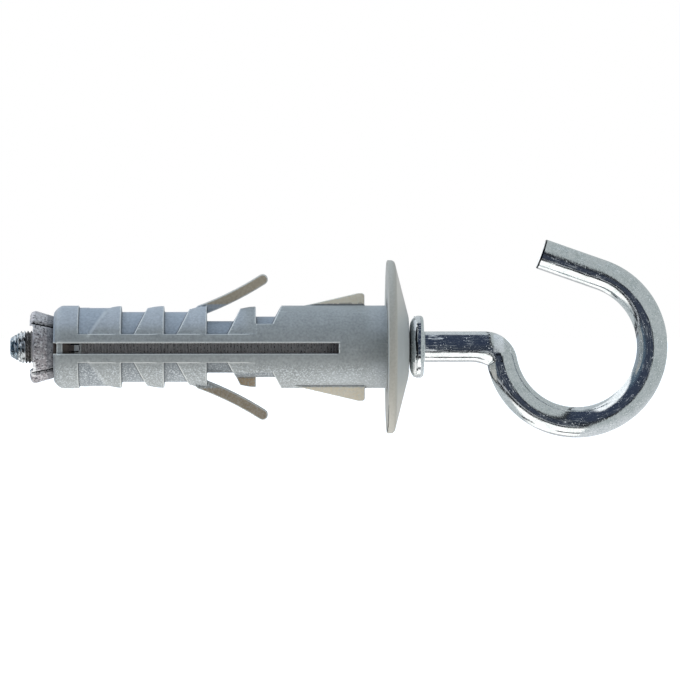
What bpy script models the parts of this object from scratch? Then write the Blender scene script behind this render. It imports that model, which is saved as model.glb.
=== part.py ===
"""Hook wall plug: expansion sleeve, cover disc, cone nut and a wire hook with a threaded shank.

Frame: X runs along the screw, with the hook at +X and the hole end at -X. Z is up, and the hook's bend lies
in the XZ plane. The cover disc's back bears on the wall's face, which is the plane X = 0. The origin is on
the screw's axis.
"""

from math import atan2, cos, pi, radians, sin, sqrt, tan

import bmesh
import bpy
from mathutils import Matrix, Vector

MM = 0.001

# Gap kept between pieces that touch, turn or slide in each other
CLEARANCE = 0.3 * MM

# Expansion sleeve, one nylon moulding
SLEEVE_DIAMETER = 12.4 * MM
SLEEVE_REACH = 49.8 * MM          # from the wall's face to the hole end
LEAD_LENGTH = 1.4 * MM            # curved lead at the hole end
LEAD_DEPTH = 1.0 * MM
SLOT_WIDTH = 1.6 * MM
UNSLIT_LENGTH = 7.3 * MM          # length behind the disc that the slots don't reach
BRIDGE_OFFSET = 0.55 * MM         # from the hole end to the thin bridge across each slot
BRIDGE_WIDTH = 0.85 * MM
BRIDGE_THICKNESS = 0.65 * MM
BRIDGE_RECESS = 0.55 * MM         # how far the bridge lies below the sleeve's surface

# Barbs above and below the slots
RAIL_HEIGHT = 4.2 * MM            # full-radius band along each slot, slot included
BARB_OFFSET = 3.7 * MM            # from the hole end to the first recess
BARB_PITCH = 6.37 * MM
FIRST_RECESS_WIDTH = 1.5 * MM     # along the foot of a recess
RECESS_WIDTH = 1.95 * MM
RAMP_ANGLE = radians(63.0)
FIRST_RAMP_ANGLE = radians(53.0)
FIRST_RECESS_DEPTH = 0.3 * MM     # shallow, because the cone's mouth thins the wall there
RECESS_DEPTH = 0.95 * MM
CREST_DROP = 0.35 * MM            # a barb's crest is this much lower at its ramp
CREST_EDGE = 0.06 * MM            # small step between a crest and the full radius

# Fin pocket, the tooth behind it and the notch after it
POCKET_WIDTH = 3.15 * MM
POCKET_DEPTH = 2.33 * MM
ROOT_CREST_DROP = 0.5 * MM        # the tooth that carries the fin starts lower
NOTCH_OFFSET = 7.35 * MM          # from the pocket's steep wall to the notch's steep wall
NOTCH_WIDTH = 2.5 * MM
NOTCH_DEPTH = 1.65 * MM
NOTCH_RAIL_HEIGHT = 7.2 * MM      # full-radius band along the slot beside the notch

# Locking fins, which fold down beside the half tooth
FIN_THICKNESS = 1.55 * MM
FIN_WIDTH = 2.5 * MM
FIN_LENGTH = 10.2 * MM            # from the tooth that carries it to the tip
FIN_ROOT_LENGTH = 2.7 * MM        # part that is fused with its tooth
FIN_HEIGHT = 5.83 * MM            # centre line's height over the axis where it leaves its tooth
FIN_START_ANGLE = radians(21.4)
FIN_BEND_RADIUS = 48.0 * MM
FIN_OFFSET = 0.9 * MM             # middle of the fin's width, to one side of the middle plane

# Ribs that stop the sleeve turning in the hole
RIB_WIDTH = 2.2 * MM
RIB_OFFSET = 1.4 * MM             # middle of the rib's width, to one side of the middle plane
RIB_LENGTH = 8.75 * MM
RIB_HEIGHT = 1.8 * MM
RIB_CREST = 1.05 * MM             # level stretch before its square end
RIB_END_OFFSET = 3.35 * MM        # from the wall's face to its square end

# Cover disc, one nylon moulding
DISC_DIAMETER = 26.0 * MM
DISC_RIM_THICKNESS = 1.25 * MM
DISC_RIM_ROUND = 0.75 * MM
DISC_THICKNESS = 3.25 * MM
DISC_FACE_DIAMETER = 9.0 * MM     # flat that the hook's collar bears on
DISC_RELIEF_DIAMETER = 14.4 * MM  # middle of the back, set back from the wall for the sleeve's end
SPIGOT_DIAMETER = 8.0 * MM        # short neck of the sleeve that centres the disc
SPIGOT_LENGTH = 1.0 * MM

# Hook: screw, collar and bend are one piece of steel wire
WIRE_DIAMETER = 4.6 * MM
THREAD_DIAMETER = 4.9 * MM
SCREW_REACH = 56.4 * MM           # from the wall's face to the screw's tip
TIP_DIAMETER = 2.7 * MM
TIP_LENGTH = 1.7 * MM
COLLAR_DIAMETER = 9.4 * MM
COLLAR_THICKNESS = 2.0 * MM
COLLAR_SEAT_DIAMETER = 5.8 * MM    # flat that bears on the disc, before the collar's round shoulder
COLLAR_SHOULDER = 1.15 * MM
COLLAR_ROUND = 0.35 * MM
SHANK_LENGTH = 9.2 * MM           # straight wire from the collar to the first bend
NECK_RADIUS = 2.6 * MM            # centre line of the tight bend
HOOK_RADIUS = 11.4 * MM           # centre line of the round bend
HOOK_END_ANGLE = radians(70.7)    # where the round bend ends, seen from its centre
HOOK_TAIL_LENGTH = 9.7 * MM       # straight wire after the round bend
WIRE_CHAMFER = 0.2 * MM

# Cone nut, one zinc die casting
NUT_DIAMETER = 10.9 * MM
NUT_BASE_OFFSET = 3.6 * MM        # from the sleeve's hole end to the nut's outer face
NUT_BAND = 0.8 * MM               # rounded band before the cone starts
NUT_NOSE_DIAMETER = 6.8 * MM
NUT_CONE_ANGLE = radians(16.4)
NUT_CHANNEL_DEPTH = 0.55 * MM     # across the outer face, from front to back
NUT_CHANNEL_WIDTH = 6.6 * MM
NUT_GROOVE_WIDTH = 0.9 * MM
NUT_GROOVE_DEPTH = 0.5 * MM
KEY_HEIGHT = 0.55 * MM            # over the cone's nose
KEY_LENGTH = 2.5 * MM

# Round shapes
SLEEVE_SIDES = 64
DISC_SIDES = 72
WIRE_SIDES = 28
NUT_SIDES = 48
ROUND_STEPS = 4
NECK_STEPS = 10
HOOK_STEPS = 36
FIN_STEPS = 8
CREST_STEPS = 3

# Worked out from the sizes above
SLEEVE_RADIUS = SLEEVE_DIAMETER / 2
WIRE_RADIUS = WIRE_DIAMETER / 2
THREAD_RADIUS = THREAD_DIAMETER / 2
BORE_RADIUS = THREAD_RADIUS + CLEARANCE
HOLE_END_X = -SLEEVE_REACH
WALL_X = 0.0                      # the sleeve ends level with the wall's face
MARGIN = SLEEVE_DIAMETER          # cutters reach this far past what they cut
POCKET_X = HOLE_END_X + BARB_OFFSET + 3 * BARB_PITCH
NOTCH_X = POCKET_X + NOTCH_OFFSET
COLLAR_X = DISC_THICKNESS + CLEARANCE
BEND_X = COLLAR_X + COLLAR_THICKNESS + SHANK_LENGTH
NUT_FACE_X = HOLE_END_X - NUT_BASE_OFFSET
NUT_RADIUS = NUT_DIAMETER / 2
NUT_NOSE_RADIUS = NUT_NOSE_DIAMETER / 2
NUT_CONE_X = NUT_FACE_X + NUT_BAND
NUT_NOSE_X = NUT_CONE_X + (NUT_RADIUS - NUT_NOSE_RADIUS) / tan(NUT_CONE_ANGLE)

NYLON = {"name": "grey_nylon", "colour": (0.30, 0.33, 0.35), "roughness": 0.5, "metallic": 0.0}
DISC_NYLON = {"name": "disc_nylon", "colour": (0.38, 0.39, 0.37), "roughness": 0.5, "metallic": 0.0}
ZINC_PLATE = {"name": "zinc_plate", "colour": (0.68, 0.70, 0.72), "roughness": 0.22, "metallic": 1.0}
ZINC_CASTING = {"name": "zinc_casting", "colour": (0.36, 0.35, 0.37), "roughness": 0.6, "metallic": 0.8}


def clear_scene():
    """Remove every object, so that the script can be run again in an open file."""
    for old in list(bpy.data.objects):
        bpy.data.objects.remove(old, do_unlink=True)


def make_material(finish):
    """Principled material with one finish's colour, roughness and metallic value."""
    material = bpy.data.materials.new(finish["name"])
    material.use_nodes = True
    shader = material.node_tree.nodes["Principled BSDF"]
    shader.inputs["Base Color"].default_value = (*finish["colour"], 1.0)
    shader.inputs["Roughness"].default_value = finish["roughness"]
    shader.inputs["Metallic"].default_value = finish["metallic"]
    return material


def add_object(name, bm):
    """Turn a bmesh into an object with smooth round faces and sharp edges."""
    bmesh.ops.recalc_face_normals(bm, faces=bm.faces)
    mesh = bpy.data.meshes.new(name)
    bm.to_mesh(mesh)
    bm.free()
    mesh.shade_smooth()
    mesh.set_sharp_from_angle(angle=radians(35.0))
    shape = bpy.data.objects.new(name, mesh)
    bpy.context.scene.collection.objects.link(shape)
    return shape


def make_cutter(shape):
    """Mark an object as a tool that only shapes others."""
    shape.hide_render = True
    shape.display_type = "WIRE"
    return shape


def combine(target, tool, operation):
    """Cut, join or intersect the target with the tool, which becomes a hidden cutter."""
    make_cutter(tool)
    modifier = target.modifiers.new(tool.name, "BOOLEAN")
    modifier.operation = operation
    modifier.solver = "EXACT"
    modifier.object = tool


def turned(name, profile, sides, closed):
    """Spin a profile of (x, radius) points round the X axis.

    A closed profile makes a ring. An open one starts and ends on the axis, and makes a solid body.
    """
    bm = bmesh.new()
    points = [bm.verts.new((x, 0.0, r)) for x, r in profile]
    pairs = list(zip(points, points[1:]))
    if closed:
        pairs.append((points[-1], points[0]))
    edges = [bm.edges.new(pair) for pair in pairs]
    bmesh.ops.spin(bm, geom=points + edges, cent=(0, 0, 0), axis=(1, 0, 0), angle=2 * pi,
                   steps=sides, use_merge=True)
    bmesh.ops.remove_doubles(bm, verts=bm.verts, dist=0.001 * MM)
    return add_object(name, bm)


def extruded(name, outlines, low_y, high_y):
    """Extrude each outline of (x, z) points from low_y to high_y, all in one object."""
    bm = bmesh.new()
    for outline in outlines:
        verts = [bm.verts.new((x, low_y, z)) for x, z in outline]
        face = bm.faces.new(verts)
        grown = bmesh.ops.extrude_face_region(bm, geom=[face])
        moved = [item for item in grown["geom"] if isinstance(item, bmesh.types.BMVert)]
        bmesh.ops.translate(bm, verts=moved, vec=(0, high_y - low_y, 0))
    return add_object(name, bm)


def add_turned_copy(shape):
    """Add to the mesh a copy of itself turned half a turn round the X axis."""
    bm = bmesh.new()
    bm.from_mesh(shape.data)
    copied = bmesh.ops.duplicate(bm, geom=bm.verts[:] + bm.edges[:] + bm.faces[:])
    verts = [item for item in copied["geom"] if isinstance(item, bmesh.types.BMVert)]
    bmesh.ops.rotate(bm, verts=verts, cent=(0, 0, 0), matrix=Matrix.Rotation(pi, 3, "X"))
    bm.to_mesh(shape.data)
    bm.free()


def arc_points(centre, radii, start, end, steps):
    """Points on an arc round centre, from angle start to end. Two radii make it elliptic."""
    points = []
    for step in range(steps + 1):
        angle = start + (end - start) * step / steps
        points.append((centre[0] + radii[0] * cos(angle), centre[1] + radii[1] * sin(angle)))
    return points


def band_cutter(name, volumes, core):
    """Tool that cuts volumes over the axis, and their copies turned under it, but only outside a core.

    Each volume is an outline of (x, z) points with its low and high y. The core is a (x, radius) profile.
    """
    outline, low_y, high_y = volumes[0]
    cutter = extruded(name, [outline], low_y, high_y)
    add_turned_copy(cutter)
    for index, (outline, low_y, high_y) in enumerate(volumes[1:]):
        extra = extruded(f"{name}_extra_{index + 1}", [outline], low_y, high_y)
        add_turned_copy(extra)
        combine(cutter, extra, "UNION")
    low_x = core[0][0]
    high_x = core[-1][0]
    floor = turned(f"{name}_floor", [(low_x, 0.0), *core, (high_x, 0.0)], SLEEVE_SIDES, closed=False)
    combine(cutter, floor, "DIFFERENCE")
    return cutter


def ramp_outline(steep_x, foot_width, edge_z, ramp_angle):
    """Side view of a recess: a steep wall on the left and a ramp on the right."""
    foot_x = steep_x + foot_width
    top_x = foot_x + (MARGIN - edge_z) / tan(ramp_angle)
    return [(steep_x, edge_z), (foot_x, edge_z), (top_x, MARGIN), (steep_x, MARGIN)]


def box_outline(low_x, high_x, low_z, high_z):
    """Rectangle in side view."""
    return [(low_x, low_z), (high_x, low_z), (high_x, high_z), (low_x, high_z)]


def level_core(low_x, high_x, radius):
    """Core of one radius that reaches past both ends."""
    return [(low_x - MARGIN, radius), (high_x + MARGIN, radius)]


def recess_cutter(name, steep_x, foot_width, depth, ramp_angle):
    """Tool for one recess that leaves a round floor between the rails."""
    outline = ramp_outline(steep_x, foot_width, RAIL_HEIGHT / 2, ramp_angle)
    core = level_core(steep_x, steep_x + foot_width, SLEEVE_RADIUS - depth)
    return band_cutter(name, [(outline, -MARGIN, MARGIN)], core)


def notch_cutter():
    """Tool for the notch, joined to the bed beside the half tooth that the folded fin lies in."""
    edge_z = NOTCH_RAIL_HEIGHT / 2
    end_x = NOTCH_X + NOTCH_WIDTH
    notch = ramp_outline(NOTCH_X, NOTCH_WIDTH, edge_z, RAMP_ANGLE)
    bed_reach = MARGIN * 0.8
    bed = box_outline(POCKET_X + POCKET_WIDTH / 2, NOTCH_X + NOTCH_WIDTH / 2, edge_z, bed_reach)
    bed_side_y = FIN_OFFSET - FIN_WIDTH / 2 - CLEARANCE
    volumes = [(notch, -MARGIN, MARGIN), (bed, bed_side_y, bed_reach)]
    return band_cutter("notch", volumes, level_core(NOTCH_X - MARGIN, end_x, SLEEVE_RADIUS - NOTCH_DEPTH))


def crest_cutter(name, foot_x, ramp_angle, end_x, start_drop):
    """Tool that lets a barb's crest curve down from its steep end at end_x to the top of its ramp."""
    edge_z = RAIL_HEIGHT / 2 + CREST_EDGE
    start_x = foot_x + (SLEEVE_RADIUS - edge_z) / tan(ramp_angle)
    past_x = end_x + CREST_EDGE
    outline = box_outline(foot_x, past_x, edge_z, MARGIN)
    core = [(foot_x - MM, SLEEVE_RADIUS - start_drop)]
    for step in range(CREST_STEPS + 1):
        along = step / CREST_STEPS
        drop = CREST_EDGE + (start_drop - CREST_EDGE) * (1 - along) ** 2
        core.append((start_x + (end_x - start_x) * along, SLEEVE_RADIUS - drop))
    core.append((past_x + MM, core[-1][1]))
    return band_cutter(name, [(outline, -MARGIN, MARGIN)], core)


def mouth_radius(x):
    """Radius of the sleeve's tapered mouth, which follows the cone nut with the clearance."""
    cone = NUT_RADIUS - (x - NUT_CONE_X) * tan(NUT_CONE_ANGLE)
    return cone + CLEARANCE / cos(NUT_CONE_ANGLE)


def cut_barbs(sleeve):
    """Cut the three recesses, the fin pocket and the notch, then slope the crests between them."""
    widths = [FIRST_RECESS_WIDTH, RECESS_WIDTH, RECESS_WIDTH]
    depths = [FIRST_RECESS_DEPTH, RECESS_DEPTH, RECESS_DEPTH]
    angles = [FIRST_RAMP_ANGLE, RAMP_ANGLE, RAMP_ANGLE]
    drops = [CREST_DROP, CREST_DROP, ROOT_CREST_DROP]
    crests = []
    for index, (width, depth, angle, drop) in enumerate(zip(widths, depths, angles, drops)):
        steep_x = HOLE_END_X + BARB_OFFSET + index * BARB_PITCH
        recess = recess_cutter(f"recess_{index + 1}", steep_x, width, depth, angle)
        combine(sleeve, recess, "DIFFERENCE")
        crests.append((steep_x + width, angle, steep_x + BARB_PITCH, drop))
    combine(sleeve, recess_cutter("pocket", POCKET_X, POCKET_WIDTH, POCKET_DEPTH, RAMP_ANGLE), "DIFFERENCE")
    combine(sleeve, notch_cutter(), "DIFFERENCE")
    crests.append((POCKET_X + POCKET_WIDTH, RAMP_ANGLE, NOTCH_X, CREST_DROP))
    for index, crest in enumerate(crests):
        combine(sleeve, crest_cutter(f"crest_{index + 1}", *crest), "DIFFERENCE")


def fin_outline():
    """Side view of the upper fin: two arcs of one centre, a round tip and a sloping root in its tooth."""
    start_x = POCKET_X
    centre_x = start_x - FIN_BEND_RADIUS * sin(FIN_START_ANGLE)
    centre_z = FIN_HEIGHT + FIN_BEND_RADIUS * cos(FIN_START_ANGLE)
    root_turn = FIN_ROOT_LENGTH / FIN_BEND_RADIUS
    turn = (FIN_LENGTH - FIN_THICKNESS / 2) / FIN_BEND_RADIUS
    first = FIN_START_ANGLE - pi / 2 - root_turn
    last = FIN_START_ANGLE - pi / 2 + turn
    half = FIN_THICKNESS / 2
    outer = FIN_BEND_RADIUS + half
    inner = FIN_BEND_RADIUS - half
    under = arc_points((centre_x, centre_z), (outer, outer), first, last, FIN_STEPS)
    tip_x = centre_x + FIN_BEND_RADIUS * cos(last)
    tip_z = centre_z + FIN_BEND_RADIUS * sin(last)
    tip = arc_points((tip_x, tip_z), (half, half), last, last + pi, FIN_STEPS)
    over = arc_points((centre_x, centre_z), (inner, inner), last, first, FIN_STEPS)
    root_x = centre_x + FIN_BEND_RADIUS * cos(first)
    root_z = centre_z + FIN_BEND_RADIUS * sin(first)
    return under + tip[1:-1] + over[:-1] + [(root_x, root_z)]


def rib_outline():
    """Side view of the upper rib: a long ramp with a level crest and a square end.

    The ramp runs on under the sleeve's surface, so that it leaves the round surface without a step.
    """
    end_x = -RIB_END_OFFSET
    top_z = SLEEVE_RADIUS + RIB_HEIGHT
    outer_y = RIB_OFFSET + RIB_WIDTH / 2
    sunk_z = sqrt(SLEEVE_RADIUS ** 2 - outer_y ** 2) - CLEARANCE
    slope = RIB_HEIGHT / (RIB_LENGTH - RIB_CREST)
    start_x = end_x - RIB_LENGTH - (SLEEVE_RADIUS - sunk_z) / slope
    round_radius = RIB_CREST / 3
    corner = arc_points((end_x - round_radius, top_z - round_radius), (round_radius, round_radius),
                        pi / 2, 0.0, ROUND_STEPS)
    return [(start_x, sunk_z), (end_x - RIB_CREST, top_z), *corner, (end_x, sunk_z)]


def sleeve_profile():
    """Section of the sleeve before its recesses: lead, surface, spigot, bore and tapered mouth."""
    lead = []
    for step in range(ROUND_STEPS + 1):
        along = step / ROUND_STEPS
        lead.append((HOLE_END_X + LEAD_LENGTH * along, SLEEVE_RADIUS - LEAD_DEPTH * (1 - along) ** 2))
    spigot_radius = SPIGOT_DIAMETER / 2
    mouth = mouth_radius(HOLE_END_X)
    mouth_end_x = HOLE_END_X + (mouth - BORE_RADIUS) / tan(NUT_CONE_ANGLE)
    spigot_x = WALL_X + SPIGOT_LENGTH
    return [*lead, (WALL_X, SLEEVE_RADIUS), (WALL_X, spigot_radius), (spigot_x, spigot_radius),
            (spigot_x, BORE_RADIUS), (mouth_end_x, BORE_RADIUS), (HOLE_END_X, mouth)]


def build_sleeve():
    """Expansion sleeve: turned body, moulded recesses, slots, bridges, fins and ribs."""
    sleeve = turned("expansion_sleeve", sleeve_profile(), SLEEVE_SIDES, closed=True)
    cut_barbs(sleeve)
    fins = extruded("fins", [fin_outline()], FIN_OFFSET - FIN_WIDTH / 2, FIN_OFFSET + FIN_WIDTH / 2)
    add_turned_copy(fins)
    combine(sleeve, fins, "UNION")
    ribs = extruded("ribs", [rib_outline()], RIB_OFFSET - RIB_WIDTH / 2, RIB_OFFSET + RIB_WIDTH / 2)
    add_turned_copy(ribs)
    combine(sleeve, ribs, "UNION")
    half_slot = SLOT_WIDTH / 2
    slot = box_outline(HOLE_END_X - MM, -UNSLIT_LENGTH, -half_slot, half_slot)
    combine(sleeve, extruded("slots", [slot], -MARGIN, MARGIN), "DIFFERENCE")
    low_x = HOLE_END_X + BRIDGE_OFFSET
    bridge_top = SLEEVE_RADIUS - BRIDGE_RECESS
    bridge = box_outline(low_x, low_x + BRIDGE_WIDTH, -half_slot - CLEARANCE, half_slot + CLEARANCE)
    bridges = extruded("bridges", [bridge], bridge_top - BRIDGE_THICKNESS, bridge_top)
    add_turned_copy(bridges)
    combine(sleeve, bridges, "UNION")
    sleeve.data.materials.append(make_material(NYLON))
    return sleeve


def build_disc():
    """Cover disc: a turned cone with a rounded rim, a flat for the collar and seats for the sleeve's end."""
    hole = BORE_RADIUS
    relief = DISC_RELIEF_DIAMETER / 2
    relief_x = WALL_X + CLEARANCE
    seat = SPIGOT_DIAMETER / 2 + CLEARANCE
    seat_x = WALL_X + SPIGOT_LENGTH + CLEARANCE
    radius = DISC_DIAMETER / 2
    rim = arc_points((DISC_RIM_THICKNESS - DISC_RIM_ROUND, radius - DISC_RIM_ROUND),
                     (DISC_RIM_ROUND, DISC_RIM_ROUND), pi / 2, 0.0, ROUND_STEPS)
    face = DISC_FACE_DIAMETER / 2
    profile = [(relief_x, seat), (relief_x, relief), (WALL_X, relief), (WALL_X, radius), *rim,
               (DISC_THICKNESS, face), (DISC_THICKNESS, hole), (seat_x, hole), (seat_x, seat)]
    disc = turned("cover_disc", profile, DISC_SIDES, closed=True)
    disc.data.materials.append(make_material(DISC_NYLON))
    return disc


def nut_radius_at(x):
    """Radius of the nut's cone at x."""
    return NUT_RADIUS - (x - NUT_CONE_X) * tan(NUT_CONE_ANGLE)


def build_nut_grooves():
    """Tool for the four grooves between the nut's lobes, which follow the cone."""
    bm = bmesh.new()
    for index in range(4):
        turn = Matrix.Rotation(pi / 4 + index * pi / 2, 3, "X")
        rings = []
        for x in (NUT_FACE_X - MM, NUT_NOSE_X + MM):
            centre = nut_radius_at(x)
            corners = [(x, -NUT_GROOVE_WIDTH / 2, centre), (x, 0.0, centre - NUT_GROOVE_DEPTH),
                       (x, NUT_GROOVE_WIDTH / 2, centre), (x, 0.0, centre + NUT_GROOVE_WIDTH * 2)]
            rings.append([bm.verts.new(turn @ Vector(corner)) for corner in corners])
        bm.faces.new(rings[0])
        bm.faces.new(list(reversed(rings[1])))
        for corner in range(4):
            following = (corner + 1) % 4
            bm.faces.new([rings[0][corner], rings[1][corner], rings[1][following], rings[0][following]])
    return add_object("nut_grooves", bm)


def build_nut():
    """Cone nut: turned cone with lobes, a channel across its face and two keys for the slots."""
    corner = arc_points((NUT_FACE_X + NUT_BAND, NUT_RADIUS - NUT_BAND), (NUT_BAND, NUT_BAND), pi, pi / 2,
                        ROUND_STEPS)
    profile = [(NUT_FACE_X, 0.0), *corner, (NUT_NOSE_X, NUT_NOSE_RADIUS), (NUT_NOSE_X, 0.0)]
    nut = turned("cone_nut", profile, NUT_SIDES, closed=False)
    combine(nut, build_nut_grooves(), "DIFFERENCE")
    half_channel = NUT_CHANNEL_WIDTH / 2
    channel_x = NUT_FACE_X + NUT_CHANNEL_DEPTH
    channel = extruded("nut_channel", [[(NUT_FACE_X - MM, -half_channel), (channel_x, -half_channel),
                                        (channel_x, half_channel), (NUT_FACE_X - MM, half_channel)]],
                       -MARGIN, MARGIN)
    combine(nut, channel, "DIFFERENCE")
    half_key = SLOT_WIDTH / 2 - CLEARANCE
    key_end_x = NUT_NOSE_X - CLEARANCE
    key_outline = [(key_end_x - KEY_LENGTH, -half_key), (key_end_x, -half_key), (key_end_x, half_key),
                   (key_end_x - KEY_LENGTH, half_key)]
    keys = extruded("nut_keys", [key_outline], BORE_RADIUS, NUT_NOSE_RADIUS + KEY_HEIGHT)
    add_turned_copy(keys)
    combine(nut, keys, "UNION")
    bore_outline = [(NUT_FACE_X - MM, 0.0), (NUT_FACE_X - MM, BORE_RADIUS), (NUT_NOSE_X + MM, BORE_RADIUS),
                    (NUT_NOSE_X + MM, 0.0)]
    combine(nut, turned("nut_bore", bore_outline, WIRE_SIDES, closed=False), "DIFFERENCE")
    nut.data.materials.append(make_material(ZINC_CASTING))
    return nut


def shank_stations():
    """Stations (x, z, heading, radius) along the screw, the collar and the straight wire."""
    tip_x = -SCREW_REACH
    collar_end_x = COLLAR_X + COLLAR_THICKNESS
    collar_radius = COLLAR_DIAMETER / 2
    seat = COLLAR_SEAT_DIAMETER / 2
    shoulder = (COLLAR_SHOULDER, collar_radius - seat)
    rounds = (COLLAR_ROUND, COLLAR_ROUND)
    profile = [(tip_x, TIP_DIAMETER / 2), (tip_x + TIP_LENGTH, THREAD_RADIUS), (COLLAR_X, THREAD_RADIUS)]
    profile += arc_points((COLLAR_X + COLLAR_SHOULDER, seat), shoulder, pi, pi / 2, ROUND_STEPS)
    profile += arc_points((collar_end_x - COLLAR_ROUND, collar_radius - COLLAR_ROUND), rounds, pi / 2, 0.0,
                          ROUND_STEPS)
    profile += [(collar_end_x, WIRE_RADIUS), (BEND_X, WIRE_RADIUS)]
    return [(x, 0.0, 0.0, radius) for x, radius in profile]


def bend_stations():
    """Stations round the tight bend, the round bend and the straight tail.

    The tight bend turns down from the shank and meets the round bend where their circles touch. The round
    bend's centre lies on the screw's axis.
    """
    reach = NECK_RADIUS + HOOK_RADIUS
    centre_x = BEND_X + sqrt(reach ** 2 - NECK_RADIUS ** 2)
    meet_angle = atan2(NECK_RADIUS, centre_x - BEND_X)
    stations = []
    neck_turn = pi / 2 - meet_angle
    for step in range(1, NECK_STEPS + 1):
        turn = neck_turn * step / NECK_STEPS
        stations.append((BEND_X + NECK_RADIUS * sin(turn), NECK_RADIUS * (cos(turn) - 1), -turn, WIRE_RADIUS))
    first = pi + meet_angle
    last = 2 * pi + HOOK_END_ANGLE
    for step in range(1, HOOK_STEPS + 1):
        place = first + (last - first) * step / HOOK_STEPS
        stations.append((centre_x + HOOK_RADIUS * cos(place), HOOK_RADIUS * sin(place), place + pi / 2,
                         WIRE_RADIUS))
    end_x, end_z, heading, _ = stations[-1]
    for run, radius in ((HOOK_TAIL_LENGTH - WIRE_CHAMFER, WIRE_RADIUS),
                        (HOOK_TAIL_LENGTH, WIRE_RADIUS - WIRE_CHAMFER)):
        stations.append((end_x + run * cos(heading), end_z + run * sin(heading), heading, radius))
    return stations


def build_hook():
    """Hook: one rod swept along its centre line, with a ring of points at each station."""
    bm = bmesh.new()
    rings = []
    for x, z, heading, radius in shank_stations() + bend_stations():
        ring = []
        for side in range(WIRE_SIDES):
            angle = 2 * pi * side / WIRE_SIDES
            out = radius * cos(angle)
            ring.append(bm.verts.new((x - out * sin(heading), radius * sin(angle), z + out * cos(heading))))
        rings.append(ring)
    for first, second in zip(rings, rings[1:]):
        for side in range(WIRE_SIDES):
            following = (side + 1) % WIRE_SIDES
            bm.faces.new([first[side], first[following], second[following], second[side]])
    bm.faces.new(rings[0])
    bm.faces.new(rings[-1])
    hook = add_object("hook", bm)
    hook.data.materials.append(make_material(ZINC_PLATE))
    return hook


def main():
    clear_scene()
    build_sleeve()
    build_disc()
    build_nut()
    build_hook()


if __name__ == "__main__":
    main()
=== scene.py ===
"""Hook wall plug, dressed: nylon expansion sleeve and cover disc, cast cone nut, zinc-plated wire hook.

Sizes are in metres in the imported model's frame: X runs along the screw with the hook at +X, and Z is up.
"""

import logging
from collections.abc import Callable
from dataclasses import dataclass
from enum import Enum
from functools import reduce
from math import asin, atan2, cos, exp, floor, pi, radians, sin, sqrt

import bmesh
import bpy
import numpy as np
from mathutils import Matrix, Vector, noise


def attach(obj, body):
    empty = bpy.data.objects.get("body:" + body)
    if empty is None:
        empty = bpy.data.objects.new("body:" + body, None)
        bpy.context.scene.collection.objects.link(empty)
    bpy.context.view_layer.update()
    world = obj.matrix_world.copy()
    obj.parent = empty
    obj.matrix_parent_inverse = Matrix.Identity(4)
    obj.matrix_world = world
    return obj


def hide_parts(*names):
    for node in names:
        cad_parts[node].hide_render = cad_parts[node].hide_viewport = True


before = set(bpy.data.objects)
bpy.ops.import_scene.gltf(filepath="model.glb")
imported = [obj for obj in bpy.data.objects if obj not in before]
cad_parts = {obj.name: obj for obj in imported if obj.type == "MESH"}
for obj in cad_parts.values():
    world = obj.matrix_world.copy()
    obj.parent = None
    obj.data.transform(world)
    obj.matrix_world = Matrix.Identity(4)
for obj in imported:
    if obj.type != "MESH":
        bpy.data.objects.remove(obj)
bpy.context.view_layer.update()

MM = 0.001
SEAM_MERGE = 0.0005 * MM
LOG = logging.getLogger("hook_wall_plug")

Socket = bpy.types.NodeSocket
Colour = tuple[float, float, float]
Span = tuple[float, float]
"""Where a change starts and where it is full."""
Band = tuple[float, float, float]
"""The lower and the upper limit of a mark, and how far it fades outside them."""
Ramp = tuple[float, float, float, float]
"""Where a change starts and where it is full, and the value at either end."""
Patch = tuple[float, float, float, float]
"""Least and most X and least and most Z of a patch on the wire."""
Grain = tuple[float, float, float, float]
"""Size of the clouds, the grain and the specks in millimetres, and the specks' share."""
Limits = Span | Band | Ramp
"""What a measure is held against."""


def mm(*lengths: float) -> tuple:
    """Give lengths in metres from lengths in millimetres."""
    return tuple(length * MM for length in lengths)


class Body(Enum):
    """The CAD body that a piece moves with."""

    PLUG = "plug"
    SCREW = "screw_hook"
    NUT = "nut"


class Slot(Enum):
    """Names of the material slots, one for each finish."""

    SLEEVE = "sleeve_nylon"
    DISC = "disc_nylon"
    CASTING = "zinc_casting"
    PLATE = "zinc_plate"


class Ease(Enum):
    """How a value moves from one end of a range to the other."""

    EVEN = "LINEAR"
    SOFT = "SMOOTHSTEP"


@dataclass(frozen=True)
class Layer:
    """A colour, and the limits of the measures between which it lies over the colours below it.

    With a turn, it passes to the other colour as the measure that the turn names passes its span.
    """

    colour: Colour
    limits: dict[str, Limits]
    other: Colour | None = None
    turn: tuple[str, Span] | None = None


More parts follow.
